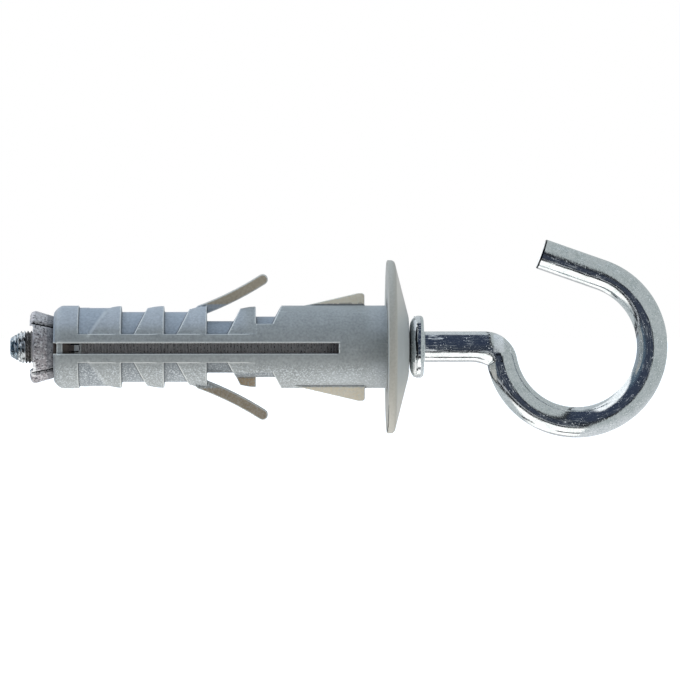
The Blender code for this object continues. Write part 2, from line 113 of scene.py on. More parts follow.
class NodeBench:
    """Adds nodes to one tree and joins them."""

    def __init__(self, tree: bpy.types.NodeTree) -> None:
        """Keep the tree of the material, world or group that the nodes go into."""
        self.tree = tree

    def feed(self, node: bpy.types.Node, values: dict[int | str, object]) -> None:
        """Join a node's inputs to other nodes' outputs, or set their plain values.

        Args:
            node: the node.
            values: an output socket, a number or a colour for each input, given by place or name.
        """
        for key, value in values.items():
            socket = node.inputs[key]
            if isinstance(value, Socket):
                self.tree.links.new(value, socket)
            elif socket.type == "RGBA":
                socket.default_value = (*value, 1.0)
            else:
                socket.default_value = value

    def add(self, kind: str, *first: object, others: dict[int | str, object] | None = None,
            **settings: object) -> bpy.types.Node:
        """Add a node, set it up and feed it.

        Args:
            kind: the node's Blender type, without the ShaderNode prefix that all but a group's ends have.
            first: values of its first inputs, in order.
            others: values of its other inputs.
            settings: properties to set on the node.

        Returns:
            The new node.
        """
        node = self.tree.nodes.new(kind if kind.startswith("Node") else f"ShaderNode{kind}")
        for name, setting in settings.items():
            setattr(node, name, setting)
        self.feed(node, dict(enumerate(first)) | (others or {}))
        return node

    def math(self, operation: str, *values: object) -> Socket:
        """Give the result of a Math node."""
        return self.add("Math", *values, operation=operation).outputs[0]

    def vector(self, operation: str, *values: object) -> Socket:
        """Give the vector that a Vector Math node makes."""
        return self.add("VectorMath", *values, operation=operation).outputs[0]

    def all_of(self, *masks: Socket) -> Socket:
        """Give the place where all masks meet, as their product."""
        return reduce(lambda one, other: self.math("MULTIPLY", one, other), masks)

    def any_of(self, *masks: Socket) -> Socket:
        """Give the place where any mask lies, as the greatest of them."""
        return reduce(lambda one, other: self.math("MAXIMUM", one, other), masks)

    def ramp(self, value: Socket, low: object, high: object, first: float = 0.0, last: float = 1.0,
             ease: Ease = Ease.SOFT) -> Socket:
        """Map a value from the range low to high to the range first to last, and keep it inside."""
        return self.add("MapRange", value, low, high, first, last, interpolation_type=ease.value,
                        clamp=True).outputs[0]

    def band(self, value: Socket, low: float, high: float, soft: float) -> Socket:
        """Mark the values from low to high, and let the mark fade outside them."""
        return self.all_of(self.ramp(value, low - soft, low), self.ramp(value, high + soft, high))

    def mix(self, share: object, one: object, other: object, blend: str = "MIX") -> Socket:
        """Mix two colours by the share of the second."""
        return self.add("Mix", others={0: share, 6: one, 7: other}, data_type="RGBA", blend_type=blend,
                        clamp_factor=True).outputs[2]

    def mix_numbers(self, share: Socket, one: object, other: object) -> Socket:
        """Mix two numbers by the share of the second."""
        return self.add("Mix", others={0: share, 2: one, 3: other}, data_type="FLOAT").outputs[0]

    def coat(self, colour: object, *layers: tuple[Socket, object]) -> Socket:
        """Lay colours over one another.

        Args:
            colour: the lowest colour.
            layers: share and colour of each layer on it, from the lowest up.

        Returns:
            The colour that shows.
        """
        for share, layer in layers:
            colour = self.mix(share, colour, layer)
        return colour

    def lay(self, colour: object, layers: tuple[Layer, ...], measures: dict[str, Socket]) -> Socket:
        """Lay colours over one another where their measures lie between their limits.

        Args:
            colour: the lowest colour.
            layers: the layers, from the lowest up; three numbers as limits are a band.
            measures: the measures that the layers name.

        Returns:
            The colour that shows.
        """
        for layer in layers:
            top = layer.colour
            if layer.turn:
                name, span = layer.turn
                top = self.mix(self.ramp(measures[name], *span), top, layer.other)
            marks = [(self.band if len(limits) == 3 else self.ramp)(measures[name], *limits)
                     for name, limits in layer.limits.items()]
            colour = self.mix(self.all_of(*marks), colour, top)
        return colour

    def noise(self, where: Socket, scale: object, detail: float) -> Socket:
        """Give cloudy noise of about 0.5 on average, with scale clouds to a unit."""
        return self.add("TexNoise", others={"Vector": where, "Scale": scale, "Detail": detail}).outputs["Fac"]

    def point(self) -> Socket:
        """Give the place on the object as a vector."""
        return self.add("TexCoord").outputs["Object"]

    def place(self) -> tuple[Socket, Socket, Socket]:
        """Give X, Y and Z of the place on the object."""
        return tuple(self.add("SeparateXYZ", self.point()).outputs)

    def attribute(self, name: str) -> Socket:
        """Give the value that a mesh keeps on its points."""
        return self.add("Attribute", attribute_name=name).outputs["Fac"]


def make_grain_group() -> bpy.types.NodeTree:
    """Build the surface grain that every finish uses: broad clouds, fine grain and sparse specks.

    Returns:
        The node group, with feature sizes in millimetres in and Clouds, Grain, Specks and Height out.
    """
    group = bpy.data.node_groups.new("surface_grain", "ShaderNodeTree")
    for way, labels in (("INPUT", ("Clouds Size", "Grain Size", "Speck Size", "Speck Share")),
                        ("OUTPUT", ("Clouds", "Grain", "Specks", "Height"))):
        for label in labels:
            group.interface.new_socket(label, in_out=way, socket_type="NodeSocketFloat")
    bench = NodeBench(group)
    *sizes, share, _ = bench.add("NodeGroupInput").outputs
    in_mm = bench.vector("SCALE", bench.point())
    bench.feed(in_mm.node, {"Scale": 1.0 / MM})
    clouds, grain, dots = (bench.noise(in_mm, bench.math("DIVIDE", 1.0, size), detail)
                           for size, detail in zip(sizes, (3.0, 1.5, 0.0)))
    rarest, share_gain, edge_width, cloud_height = 0.72, 0.6, 0.06, 0.4
    edge = bench.math("SUBTRACT", rarest, bench.math("MULTIPLY", share, share_gain))
    specks = bench.ramp(dots, edge, bench.math("ADD", edge, edge_width))
    height = bench.math("MULTIPLY_ADD", clouds, cloud_height, grain)
    bench.add("NodeGroupOutput", clouds, grain, specks, height)
    return group


class Finish:
    """Base of the finishes: a Principled material with the shared grain in it."""

    grain: bpy.types.NodeTree | None = None

    @staticmethod
    def start(name: str, grain_sizes: Grain) -> tuple[bpy.types.Material, NodeBench, tuple[Socket, ...]]:
        """Start a material.

        Args:
            name: the material's name.
            grain_sizes: size of its clouds, grain and specks in millimetres, and the specks' share.

        Returns:
            The material, its bench, and the grain's clouds, fine grain, specks and height.
        """
        if Finish.grain is None:
            Finish.grain = make_grain_group()
        material = bpy.data.materials.new(name)
        material.use_nodes = True
        bench = NodeBench(material.node_tree)
        return material, bench, tuple(bench.add("Group", *grain_sizes, node_tree=Finish.grain).outputs)

    @staticmethod
    def end(bench: NodeBench, inputs: dict[str, object], height: Socket, depth: float, strength: float) -> None:
        """Feed the Principled shader and give it a bump.

        Args:
            bench: the material's bench.
            inputs: values of the shader's inputs.
            height: the surface's height, 0 to 1.
            depth: how deep 0 to 1 is, in metres.
            strength: how strongly it shows.
        """
        bump = bench.add("Bump", others={"Distance": depth, "Strength": strength, "Height": height})
        bench.feed(bench.tree.nodes["Principled BSDF"], inputs | {"Normal": bump.outputs["Normal"]})


@dataclass(frozen=True)
class NylonFinish(Finish):
    """Satin moulded nylon with a fine grain, with painted light: a beige glow in its thin outer parts."""

    name: str
    colour: Colour
    shade: Colour
    # painted light: beige glow of light shining through the thin outer parts
    thin_glow_colour: Colour
    thin_radius: Span
    grain_share: float = 0.3
    grain_depth: float = 0.02 * MM
    grain_sizes: Grain = (2.6, 0.34, 0.42, 0.3)
    clouds: Span = (0.3, 0.7)
    grain_tones: Ramp = (0.28, 0.72, 0.1, 0.9)
    roughness: Ramp = (0.3, 0.7, 0.40, 0.54)
    bump_strength: float = 0.8

    @staticmethod
    def place(bench: NodeBench) -> tuple[Socket, Socket, Socket, Socket]:
        """Give the place on the object.

        Args:
            bench: the material's bench.

        Returns:
            X, Y, Z and the distance from the screw's axis.
        """
        x, y, z = bench.place()
        radius = bench.math("SQRT", bench.math("MULTIPLY_ADD", z, z, bench.math("MULTIPLY", y, y)))
        return x, y, z, radius

    def tint(self, bench: NodeBench, plain: Socket) -> Socket:
        """Tint the plain colour by the distance from the screw's axis: a painted beige glow where the nylon is thin.
        """
        return bench.mix(bench.ramp(self.place(bench)[3], *self.thin_radius), plain, self.thin_glow_colour)

    def add_marks(self, bench: NodeBench, colour: Socket, clouds: Socket) -> Socket:
        """Leave the colour as it is; a finish that paints highlights, glints, shade and dark lines overrides this."""
        return colour

    def material(self) -> bpy.types.Material:
        """Build the nylon material.

        Returns:
            The material.
        """
        material, bench, (clouds, fine, _, height) = self.start(self.name, self.grain_sizes)
        cloudy = bench.mix(bench.ramp(clouds, *self.clouds), self.colour, self.shade)
        grainy = bench.mix(self.grain_share, self.tint(bench, cloudy),
                           bench.ramp(fine, *self.grain_tones, Ease.EVEN), "SOFT_LIGHT")
        inputs = {"Base Color": self.add_marks(bench, grainy, clouds), "Roughness": bench.ramp(fine, *self.roughness),
                  "IOR": 1.5, "Subsurface Weight": 0.1, "Subsurface Radius": (1.0, 0.95, 0.85),
                  "Subsurface Scale": 0.3 * MM}
        self.end(bench, inputs, height, self.grain_depth, self.bump_strength)
        return material


@dataclass(frozen=True)
class DiscFinish(NylonFinish):
    """The disc's nylon with painted light, lighter towards the top and bottom of its dished face and with a beige
    glow at its thin rim, and with a dark ragged line low on its back rim.
    """

    # a thin ragged dark line low on the back rim
    dark_line_x: Span = mm(-0.03, -0.13)
    dark_line_z: Band = mm(-12.4, -8.4, 0.3)
    dark_line_radius: Span = mm(12.7, 12.8)
    dark_line_raggedness: float = -0.3 * MM
    dark_line_colour: Colour = (0.02, 0.02, 0.018)
    # painted light: the dished face grows lighter towards its top and bottom
    top_bottom_light_colour: Colour = (0.645, 0.62, 0.565)
    top_bottom_light_z: Span = mm(2.5, 9.5)

    def tint(self, bench: NodeBench, plain: Socket) -> Socket:
        """Paint light on the dished face, lighter towards its top and bottom, and a beige glow of light through the
        thin rim.

        Args:
            bench: the material's bench.
            plain: the colour before it.

        Returns:
            The tinted colour.
        """
        _, _, z, radius = self.place(bench)
        return bench.coat(plain, (bench.ramp(bench.math("ABSOLUTE", z), *self.top_bottom_light_z), self.top_bottom_light_colour),
                          (bench.ramp(radius, *self.thin_radius), self.thin_glow_colour))

    def add_marks(self, bench: NodeBench, colour: Socket, clouds: Socket) -> Socket:
        """Darken a thin ragged line low on the back rim.

        Args:
            bench: the material's bench.
            colour: the colour before it.
            clouds: the surface's clouds.

        Returns:
            The colour with its dark line.
        """
        x, _, z, radius = self.place(bench)
        ragged = bench.math("MULTIPLY_ADD", clouds, self.dark_line_raggedness, x)
        # nick: the thin ragged dark line low on the back rim
        nick = bench.all_of(bench.ramp(ragged, *self.dark_line_x), bench.band(z, *self.dark_line_z),
                            bench.ramp(radius, *self.dark_line_radius))
        return bench.mix(nick, colour, self.dark_line_colour)


@dataclass(frozen=True)
class SleeveFinish(NylonFinish):
    """The sleeve's nylon, with painted light and shade: bluer and darker in the pockets, a beige glow on the fins,
    ribs and teeth, lighter near the disc and on the upper barbs, highlights on the edges, glints below and shade in
    the creases.

    Off is the height above or below the axis, and past is the distance past the first pocket's slanted wall.
    """

    # painted light: the ribs get a strong beige glow of light shining through them
    rib_glow_colour: Colour = (0.92, 0.83, 0.67)
    rib_x: Span = mm(-15.0, -14.0)
    # painted shade: the lower fin is darker than the upper one
    lower_fin_shade_colour: Colour = (0.335, 0.275, 0.20)
    lower_fin_shade_z: Span = mm(0.5, -0.5)
    # painted light: beige glow of light through the thin sides of the teeth
    tooth_glow_colour: Colour = (0.655, 0.50, 0.33)
    tooth_x: Band = mm(-22.6, -19.5, 0.1)
    tooth_y: Span = mm(1.0, 0.8)
    tooth_radius: Span = mm(4.5, 4.8)
    # painted shade in the pockets: bluer above the axis and darker below it
    pocket_shade_colours: tuple[Colour, Colour] = ((0.325, 0.370, 0.420), (0.245, 0.270, 0.290))
    pocket_z: Span = mm(1.0, -1.0)
    pocket_radius: Span = mm(5.7, 5.4)
    first_lift: Ramp = (-40.2 * MM, -44.2 * MM, 0.0, 0.6 * MM)
    first_start: Span = mm(-46.3, -46.1)
    first_off: Span = mm(2.1, 2.25)
    first_past: Span = mm(0.45, 0.15)
    # painted light: the upper barbs towards the left end are lighter and bluer
    upper_barb_light_colour: Colour = (0.40, 0.435, 0.475)
    upper_barb_light_x: Span = mm(-20.0, -23.0)
    upper_barb_light_z: Ramp = (2.1 * MM, 4.0 * MM, 0.0, 0.8)
    # painted light: the sleeve is lighter near the disc, where the disc shades it, and more so on its underside
    painted_light_colour: Colour = (0.42, 0.45, 0.465)
    disc_side_light_x: Span = mm(-4.5, -0.8)
    disc_side_light_off: Span = mm(0.8, 3.2)
    underside_light_x: Ramp = (-14.0 * MM, -6.0 * MM, 0.0, 0.7)
    underside_light_z: Span = mm(-2.8, -4.2)
    mouth_colour: Colour = (0.27, 0.26, 0.215)
    mouth_x: Ramp = (-49.2 * MM, -49.75 * MM, 0.0, 0.6)
    # painted highlights on the moulded edges and along the slot's lips
    edge_highlight_colour: Colour = (0.68, 0.70, 0.68)
    edge_relief: Ramp = (0.62, 0.76, 0.0, 0.9)
    # painted shade in the creases and the corners of the pockets
    crease_shade_colour: Colour = (0.10, 0.11, 0.12)
    crease_relief: Ramp = (0.4, 0.22, 0.0, 0.75)
    step_x: Band = mm(-45.2, -44.6, 0.1)
    step_off: Span = mm(2.2, 2.5)
    lip_z: Band = mm(0.8, 1.02, 0.04)
    lip_x: Span = mm(-7.0, -7.2)
    lip_radius: Ramp = (5.9 * MM, 6.0 * MM, 0.0, 0.65)
    wall_foot: Span = mm(-44.6, 1.85)
    wall_lean: float = -0.7
    # painted highlight along the first pocket's slanted wall
    wall_past: Band = mm(-0.05, 0.1, 0.35)
    wall_rise: Band = (0.0, 3.4 * MM, 0.3 * MM)
    wall_radius: Ramp = (5.4 * MM, 5.6 * MM, 0.0, 0.36)
    # painted glints where light grazes the grain on the underside
    underside_glint_colour: Colour = (0.62, 0.66, 0.68)
    underside_glint_size: float = 0.22 * MM
    underside_glint_tones: Ramp = (0.53, 0.64, 0.0, 0.7)
    underside_glint_z: Span = mm(-1.6, -3.6)
    underside_glint_radius: Ramp = (6.7 * MM, 6.4 * MM, 0.3, 1.0)

    def first_wall(self, bench: NodeBench, x: Socket, off: Socket) -> tuple[Socket, Socket]:
        """Measure the place from the slanted wall of the first pocket.

        Args:
            bench: the material's bench.
            x: place along the sleeve.
            off: height above or below the sleeve's axis.

        Returns:
            The height over the wall's foot and the distance past the wall.
        """
        foot_x, foot_z = self.wall_foot
        rise = bench.math("SUBTRACT", off, foot_z)
        return rise, bench.math("MULTIPLY_ADD", rise, self.wall_lean, bench.math("SUBTRACT", x, foot_x))

    def tint(self, bench: NodeBench, plain: Socket) -> Socket:
        """Tint the plain colour by the place on the sleeve, with painted light and shade.

        Args:
            bench: the material's bench.
            plain: the colour before it.

        Returns:
            The tinted colour.
        """
        x, y, z, radius = self.place(bench)
        off = bench.math("ABSOLUTE", z)
        _, past = self.first_wall(bench, x, off)
        lift = bench.all_of(bench.ramp(x, *self.first_lift), bench.ramp(off, *self.first_off),
                            bench.ramp(x, *self.first_start), bench.ramp(past, *self.first_past))
        # hollow: the pockets' floors, where shade is painted
        hollow = bench.ramp(bench.math("SUBTRACT", radius, lift), *self.pocket_radius)
        # painted light near the disc; low is its stronger part on the underside
        lit_near_disc = bench.all_of(bench.ramp(x, *self.disc_side_light_x), bench.ramp(off, *self.disc_side_light_off))
        low = bench.all_of(bench.ramp(x, *self.underside_light_x), bench.ramp(z, *self.underside_light_z))
        upper_barb_light = bench.all_of(bench.ramp(x, *self.upper_barb_light_x), bench.ramp(z, *self.upper_barb_light_z))
        tooth = bench.all_of(bench.band(x, *self.tooth_x), bench.ramp(bench.math("ABSOLUTE", y), *self.tooth_y),
                             bench.ramp(radius, *self.tooth_radius))
        # the fins' painted beige glow, with painted shade on the lower fin
        fin = bench.mix(bench.ramp(z, *self.lower_fin_shade_z), self.thin_glow_colour, self.lower_fin_shade_colour)
        return bench.coat(
            plain,
            (bench.any_of(lit_near_disc, low), self.painted_light_colour),
            (upper_barb_light, self.upper_barb_light_colour),
            (bench.ramp(x, *self.mouth_x), self.mouth_colour),
            (hollow, bench.mix(bench.ramp(z, *self.pocket_z), *self.pocket_shade_colours)),
            (tooth, self.tooth_glow_colour),
            (bench.ramp(radius, *self.thin_radius), bench.mix(bench.ramp(x, *self.rib_x), fin, self.rib_glow_colour)))

    def add_marks(self, bench: NodeBench, colour: Socket, clouds: Socket) -> Socket:
        """Paint glints on the underside, highlights on the moulded edges and shade in the creases.

        Args:
            bench: the material's bench.
            colour: the colour before it.
            clouds: the surface's clouds, which the sleeve's marks don't follow.

        Returns:
            The colour with its painted glints, highlights and shade.
        """
        x, _, z, radius = self.place(bench)
        off = bench.math("ABSOLUTE", z)
        rise, past = self.first_wall(bench, x, off)
        # painted highlight on the first pocket's slanted wall
        wall = bench.all_of(bench.band(past, *self.wall_past), bench.band(rise, *self.wall_rise),
                            bench.ramp(radius, *self.wall_radius))
        underside_glints = bench.all_of(bench.ramp(z, *self.underside_glint_z), bench.ramp(radius, *self.underside_glint_radius),
                              bench.ramp(bench.noise(bench.point(), 1.0 / self.underside_glint_size, 0.5), *self.underside_glint_tones))
        relief = bench.attribute("relief")
        step = bench.all_of(bench.band(x, *self.step_x), bench.ramp(off, *self.step_off))
        # painted highlights along the slot's lips and on the sharp edges
        lip = bench.all_of(bench.band(z, *self.lip_z), bench.ramp(x, *self.lip_x),
                           bench.ramp(radius, *self.lip_radius))
        sharp = bench.all_of(bench.ramp(relief, *self.edge_relief), bench.math("SUBTRACT", 1.0, step))
        return bench.coat(colour, (wall, self.edge_highlight_colour), (underside_glints, self.underside_glint_colour),
                          (bench.any_of(sharp, lip), self.edge_highlight_colour),
                          (bench.ramp(relief, *self.crease_relief), self.crease_shade_colour))


@dataclass(frozen=True)
class ZincPlateFinish(Finish):
    """Bright zinc plating on drawn steel wire: drawing streaks, white specks, grime on the cut end, a duller rolled
    thread, and painted light: highlights on the tip, neck and collar, reflections on the tip and shank, and painted
    shade in the thread's roots, on the thread beside the nut, in the crease and beside the collar's ridge.
    """

    name: str = "zinc_plate_bright"
    grain_sizes: Grain = (1.8, 0.26, 0.2, 0.02)
    colour: Colour = (0.75, 0.78, 0.80)
    cloud_colour: Colour = (0.66, 0.70, 0.71)
    cloud_tones: Span = (0.35, 0.65)
    mottle_share: float = 0.55
    mottle_tones: Span = (0.3, 0.7)
    streaks_along: float = 0.5
    streaks_across: float = 6.0
    thread_x: Band = mm(-53.95, -6.5, 0.25)
    thread_colour: Colour = (0.95, 0.91, 0.90)
    thread_roughness: float = 0.45
    thread_metallic: float = 0.2
    # the thread beside the nut is dark: oily, and darkened further by painted shade, in splintered strokes
    bare_x: Span = mm(-53.3, -52.9)
    bare_colours: tuple[Colour, Colour] = ((0.04, 0.037, 0.034), (0.24, 0.23, 0.22))
    splinter: float = 0.16 * MM
    splinter_tones: Span = (0.44, 0.58)
    tip_x: Span = mm(-53.75, -53.9)
    tip_fade: Ramp = (-55.3 * MM, -54.9 * MM, 0.55, 1.0)
    tip_streak: float = 0.3 * MM
    tip_slant: float = 0.4
    # painted highlights and painted shade in slanted strokes on the tip
    shone_tones: Span = (0.56, 0.60)
    shadowed_tones: Span = (0.42, 0.37)
    # painted reflection: a dark navy patch on the tip's point
    tip_reflection_x: Span = mm(-54.9, -55.2)
    tip_reflection_clouds: Span = (0.36, 0.44)
    tip_reflection_colour: Colour = (0.24, 0.31, 0.37)
    speck_colour: Colour = (0.93, 0.95, 0.96)
    speck_clouds: Ramp = (0.42, 0.56, 0.25, 1.0)
    rubs: tuple[Patch, ...] = (
        mm(6.3, 8.2, 1.3, 1.7), mm(5.8, 7.3, -0.45, 0.1))
    rub_soft: float = 0.3 * MM
    rub_streaks: Span = (0.48, 0.56)
    # painted highlight, mottled, on the neck's bend
    neck_highlight: Patch = mm(16.15, 17.3, -0.55, 1.7)
    neck_highlight_soft: float = 0.4 * MM
    neck_highlight_grain: Ramp = (0.36, 0.5, 0.55, 0.85)
    # painted highlights: white patches on the collar's shoulder, above and below the wire
    collar_highlights: tuple[Patch, ...] = (
        mm(4.0, 4.28, 2.6, 4.0), mm(3.9, 4.34, -3.75, -2.2))
    collar_highlight_soft: float = 0.12 * MM
    collar_highlight_colour: Colour = (1.0, 1.0, 1.0)
    # dark blots: two on the collar, and two of painted shade where the neck meets its crease
    blots: tuple[Patch, ...] = (
        mm(4.44, 4.6, 2.9, 3.6), mm(4.42, 4.56, -3.45, -3.1),
        mm(17.0, 17.35, -2.2, -1.3), mm(16.3, 17.0, -1.2, -0.95))
    blot_soft: float = 0.16 * MM
    blot_share: float = 0.55
    # painted reflection: a thin dark line along the shank, where it mirrors a dark line
    shank_reflection_line: Patch = mm(7.0, 12.9, -1.56, -1.50)
    shank_reflection_soft: float = 0.05 * MM
    # near black where painted shade and grime lie, broken up by the grain
    dirt_and_shade_grain: float = 0.8
    dirt_and_shade_colour: Colour = (0.03, 0.032, 0.036)
    dirt_and_shade_tones: Span = (0.72, 1.05)
    haze_streaks: Span = (0.5, 0.62)
    haze_clouds: Span = (0.42, 0.56)
    haze_metallic: Span = (0.98, 0.70)
    collar_highlight_metallic: float = -0.9
    speck_metallic: float = -0.5
    speck_roughness: float = 0.3
    roughness: Ramp = (0.35, 0.75, 0.05, 0.16)
    collar_x: Band = mm(3.6, 5.6, 0.1)
    collar_dents: float = 3.0
    plain_dents: float = 0.6
    dent_size: float = 0.55 * MM
    streak_height: float = 1.4
    bump_depth: float = 0.008 * MM
    bump_strength: float = 0.7

    def streaks(self, bench: NodeBench) -> Socket:
        """Make drawing streaks that follow the wire.

        Args:
            bench: the material's bench.

        Returns:
            The streaks' value, about 0.5 on average.
        """
        wrap = bench.add("Mapping", bench.add("UVMap", uv_map="along").outputs["UV"],
                         others={"Scale": (self.streaks_along, self.streaks_across, 1.0)})
        return bench.noise(wrap.outputs["Vector"], 1.0, 3.0)

    @staticmethod
    def patches(bench: NodeBench, patches: tuple[Patch, ...], soft: float) -> Socket:
        """Mark soft patches on the wire.

        Args:
            bench: the material's bench.
            patches: the patches.
            soft: how far a patch fades outside its limits.

        Returns:
            1 in a patch and 0 elsewhere.
        """
        x, _, z = bench.place()
        return bench.any_of(*(bench.all_of(bench.band(x, left, right, soft), bench.band(z, low, high, soft))
                              for left, right, low, high in patches))

    def slanted(self, bench: NodeBench) -> Socket:
        """Give a place on the tip whose noise runs along slanted strokes.

        Args:
            bench: the material's bench.

        Returns:
            The place, squeezed and slanted.
        """
        x, y, z = bench.place()
        return bench.add("CombineXYZ", bench.math("MULTIPLY_ADD", z, self.tip_slant, x),
                         bench.math("MULTIPLY", y, self.tip_slant),
                         bench.math("MULTIPLY", z, self.tip_slant)).outputs[0]

    def material(self) -> bpy.types.Material:
        """Build the plating material.

        Returns:
            The material.
        """
        material, bench, (clouds, fine, dots, height) = self.start(self.name, self.grain_sizes)
        x = bench.place()[0]
        streaks, slanted = self.streaks(bench), self.slanted(bench)
        threaded = bench.band(x, *self.thread_x)
        tipped = bench.all_of(bench.ramp(x, *self.tip_x), bench.ramp(x, *self.tip_fade))
        strokes = bench.noise(slanted, 1.0 / self.tip_streak, 1.0)
        collar_highlighted = self.patches(bench, self.collar_highlights, self.collar_highlight_soft)
        # specks: white specks and rubs, with painted highlights on the neck and on the tip
        specks = bench.any_of(
            bench.all_of(dots, bench.ramp(clouds, *self.speck_clouds)),
            bench.all_of(self.patches(bench, self.rubs, self.rub_soft), bench.ramp(streaks, *self.rub_streaks)),
            bench.all_of(self.patches(bench, (self.neck_highlight,), self.neck_highlight_soft),
                         bench.ramp(fine, *self.neck_highlight_grain)),
            # painted highlights on the tip
            bench.all_of(bench.ramp(strokes, *self.shone_tones), tipped))
        blots = bench.math("MULTIPLY", self.patches(bench, self.blots, self.blot_soft), self.blot_share)
        # blotted: painted shade in the thread, crease, collar groove and tip, the painted shank line, the blots, and
        # grime on the cut end
        painted_shade_and_dirt = bench.any_of(bench.attribute("dirt_and_shade"), blots,
                               # the shank's painted reflected line
                               self.patches(bench, (self.shank_reflection_line,), self.shank_reflection_soft),
                               # painted shade on the tip
                               bench.all_of(bench.ramp(strokes, *self.shadowed_tones), tipped))
        # dark thread beside the nut: oil and painted shade
        splinters = bench.ramp(bench.noise(slanted, 1.0 / self.splinter, 1.0), *self.splinter_tones)
        dull = bench.mix(bench.ramp(x, *self.bare_x), bench.mix(splinters, *self.bare_colours), self.thread_colour)
        cloudy = bench.mix(bench.ramp(clouds, *self.cloud_tones), self.colour, self.cloud_colour)
        mottle = bench.mix(self.mottle_share, cloudy, bench.ramp(fine, *self.mottle_tones, ease=Ease.EVEN),
                           "SOFT_LIGHT")
        colour = bench.coat(
            mottle,
            # the tip's painted navy reflection
            (bench.all_of(bench.ramp(x, *self.tip_reflection_x), bench.ramp(clouds, *self.tip_reflection_clouds)), self.tip_reflection_colour),
            (specks, self.speck_colour),
            # the collar's painted highlights
            (collar_highlighted, self.collar_highlight_colour),
            (threaded, dull),
            (bench.ramp(bench.math("MULTIPLY_ADD", fine, self.dirt_and_shade_grain, painted_shade_and_dirt), *self.dirt_and_shade_tones),
             self.dirt_and_shade_colour))
        hazy = bench.all_of(bench.ramp(streaks, *self.haze_streaks), bench.ramp(clouds, *self.haze_clouds))
        haze = bench.ramp(hazy, 0.0, 1.0, *self.haze_metallic, Ease.EVEN)
        metallic = bench.math("MULTIPLY_ADD", collar_highlighted, self.collar_highlight_metallic,
                              bench.math("MULTIPLY_ADD", specks, self.speck_metallic, haze))
        rough = bench.math("MULTIPLY_ADD", specks, self.speck_roughness, bench.ramp(streaks, *self.roughness))
        headed = bench.math("MULTIPLY_ADD", bench.band(x, *self.collar_x), self.collar_dents, self.plain_dents)
        dents = bench.math("MULTIPLY", bench.noise(bench.point(), 1.0 / self.dent_size, 3.0), headed)
        inputs = {"Base Color": colour, "Metallic": bench.mix_numbers(threaded, metallic, self.thread_metallic),
                  "Roughness": bench.mix_numbers(threaded, rough, self.thread_roughness)}
        raised = bench.math("ADD", dents, bench.math("MULTIPLY_ADD", streaks, self.streak_height, height))
        self.end(bench, inputs, raised, self.bump_depth, self.bump_strength)
        return material


@dataclass(frozen=True)
class CastZincFinish(Finish):
    """Matt die-cast zinc with a rough skin, with painted highlights on its top, edges, nose and lower lobe, and
    painted shade in its crevices, inside the sleeve and where it leaves the sleeve.
    """

    PALE = (0.70, 0.69, 0.70)

    name: str = "zinc_casting_matt"
    grain_sizes: Grain = (1.2, 0.26, 0.4, 0.35)
    colour: Colour = (0.415, 0.385, 0.40)
    speck_colour: Colour = (0.75, 0.74, 0.76)
    speck_share: float = 0.65
    bright_raggedness: float = 0.5 * MM
    crevice_grain: float = 0.45
    under_specks: tuple[Layer, ...] = (
        Layer((0.34, 0.315, 0.33), {"clouds": (0.35, 0.65)}),
        # painted light: the nut's top is paler
        Layer(PALE, {"z": (1.8 * MM, 3.2 * MM, 0.0, 0.6)}))
    pits: Layer = Layer((0.05, 0.05, 0.06), {"grain": (0.48, 0.38, 0.0, 0.95), "clouds": (0.40, 0.56, 0.55, 1.0)})
    # painted shadow of the sleeve's rim on the nut
    mouth: Layer = Layer((0.16, 0.17, 0.19), {"x": (-50.9 * MM, -50.65 * MM, 0.0, 0.6)})
    # painted shade on the nut inside the sleeve, and a painted highlight on its nose
    keys: Layer = Layer((0.19, 0.155, 0.14), {"x": mm(-49.9, -49.7)},
                        (0.95, 0.95, 0.94), ("x", mm(-46.75, -46.65)))
    # painted highlight on the front of the lower lobe's left end
    bright: Layer = Layer((0.95, 0.95, 0.96), {"ragged": mm(-52.1, -52.2),
                                               "z": mm(-4.2, -2.1, 0.1),
                                               "y": mm(-2.8, -3.8)})
    # painted highlights on the edges, and painted shade in the crevices
    edges: Layer = Layer(PALE, {"relief": (0.62, 0.85, 0.0, 0.7)})
    crevices: Layer = Layer((0.015, 0.015, 0.018), {"noisy": (0.66, 0.54)})
    metallic: float = 0.6
    roughness: Ramp = (0.3, 0.7, 0.40, 0.60)
    bump_depth: float = 0.07 * MM
    bump_strength: float = 1.0

    def material(self) -> bpy.types.Material:
        """Build the casting material.

        Returns:
            The material.
        """
        material, bench, (clouds, fine, dots, height) = self.start(self.name, self.grain_sizes)
        x, y, z = bench.place()
        relief = bench.attribute("relief")
        measures = {"x": x, "y": y, "z": z, "clouds": clouds, "grain": fine, "relief": relief,
                    "ragged": bench.math("MULTIPLY_ADD", fine, self.bright_raggedness, x),
                    "noisy": bench.math("MULTIPLY_ADD", fine, self.crevice_grain, relief)}
        colour = bench.coat(bench.lay(self.colour, self.under_specks, measures),
                            (bench.math("MULTIPLY", dots, self.speck_share), self.speck_colour))
        over_specks = (self.pits, self.mouth, self.keys, self.bright, self.edges, self.crevices)
        colour = bench.lay(colour, over_specks, measures)
        inputs = {"Base Color": colour, "Metallic": self.metallic, "Roughness": bench.ramp(fine, *self.roughness)}
        self.end(bench, inputs, height, self.bump_depth, self.bump_strength)
        return material


def make_object(name: str, bm: bmesh.types.BMesh) -> bpy.types.Object:
    """Put a bmesh into a new object of the scene.

    Args:
        name: the object's name.
        bm: its mesh in the model's frame, freed here.

    Returns:
        The object.
    """
    mesh = bpy.data.meshes.new(name)
    bm.to_mesh(mesh)
    bm.free()
    piece = bpy.data.objects.new(name, mesh)
    bpy.context.scene.collection.objects.link(piece)
    return piece


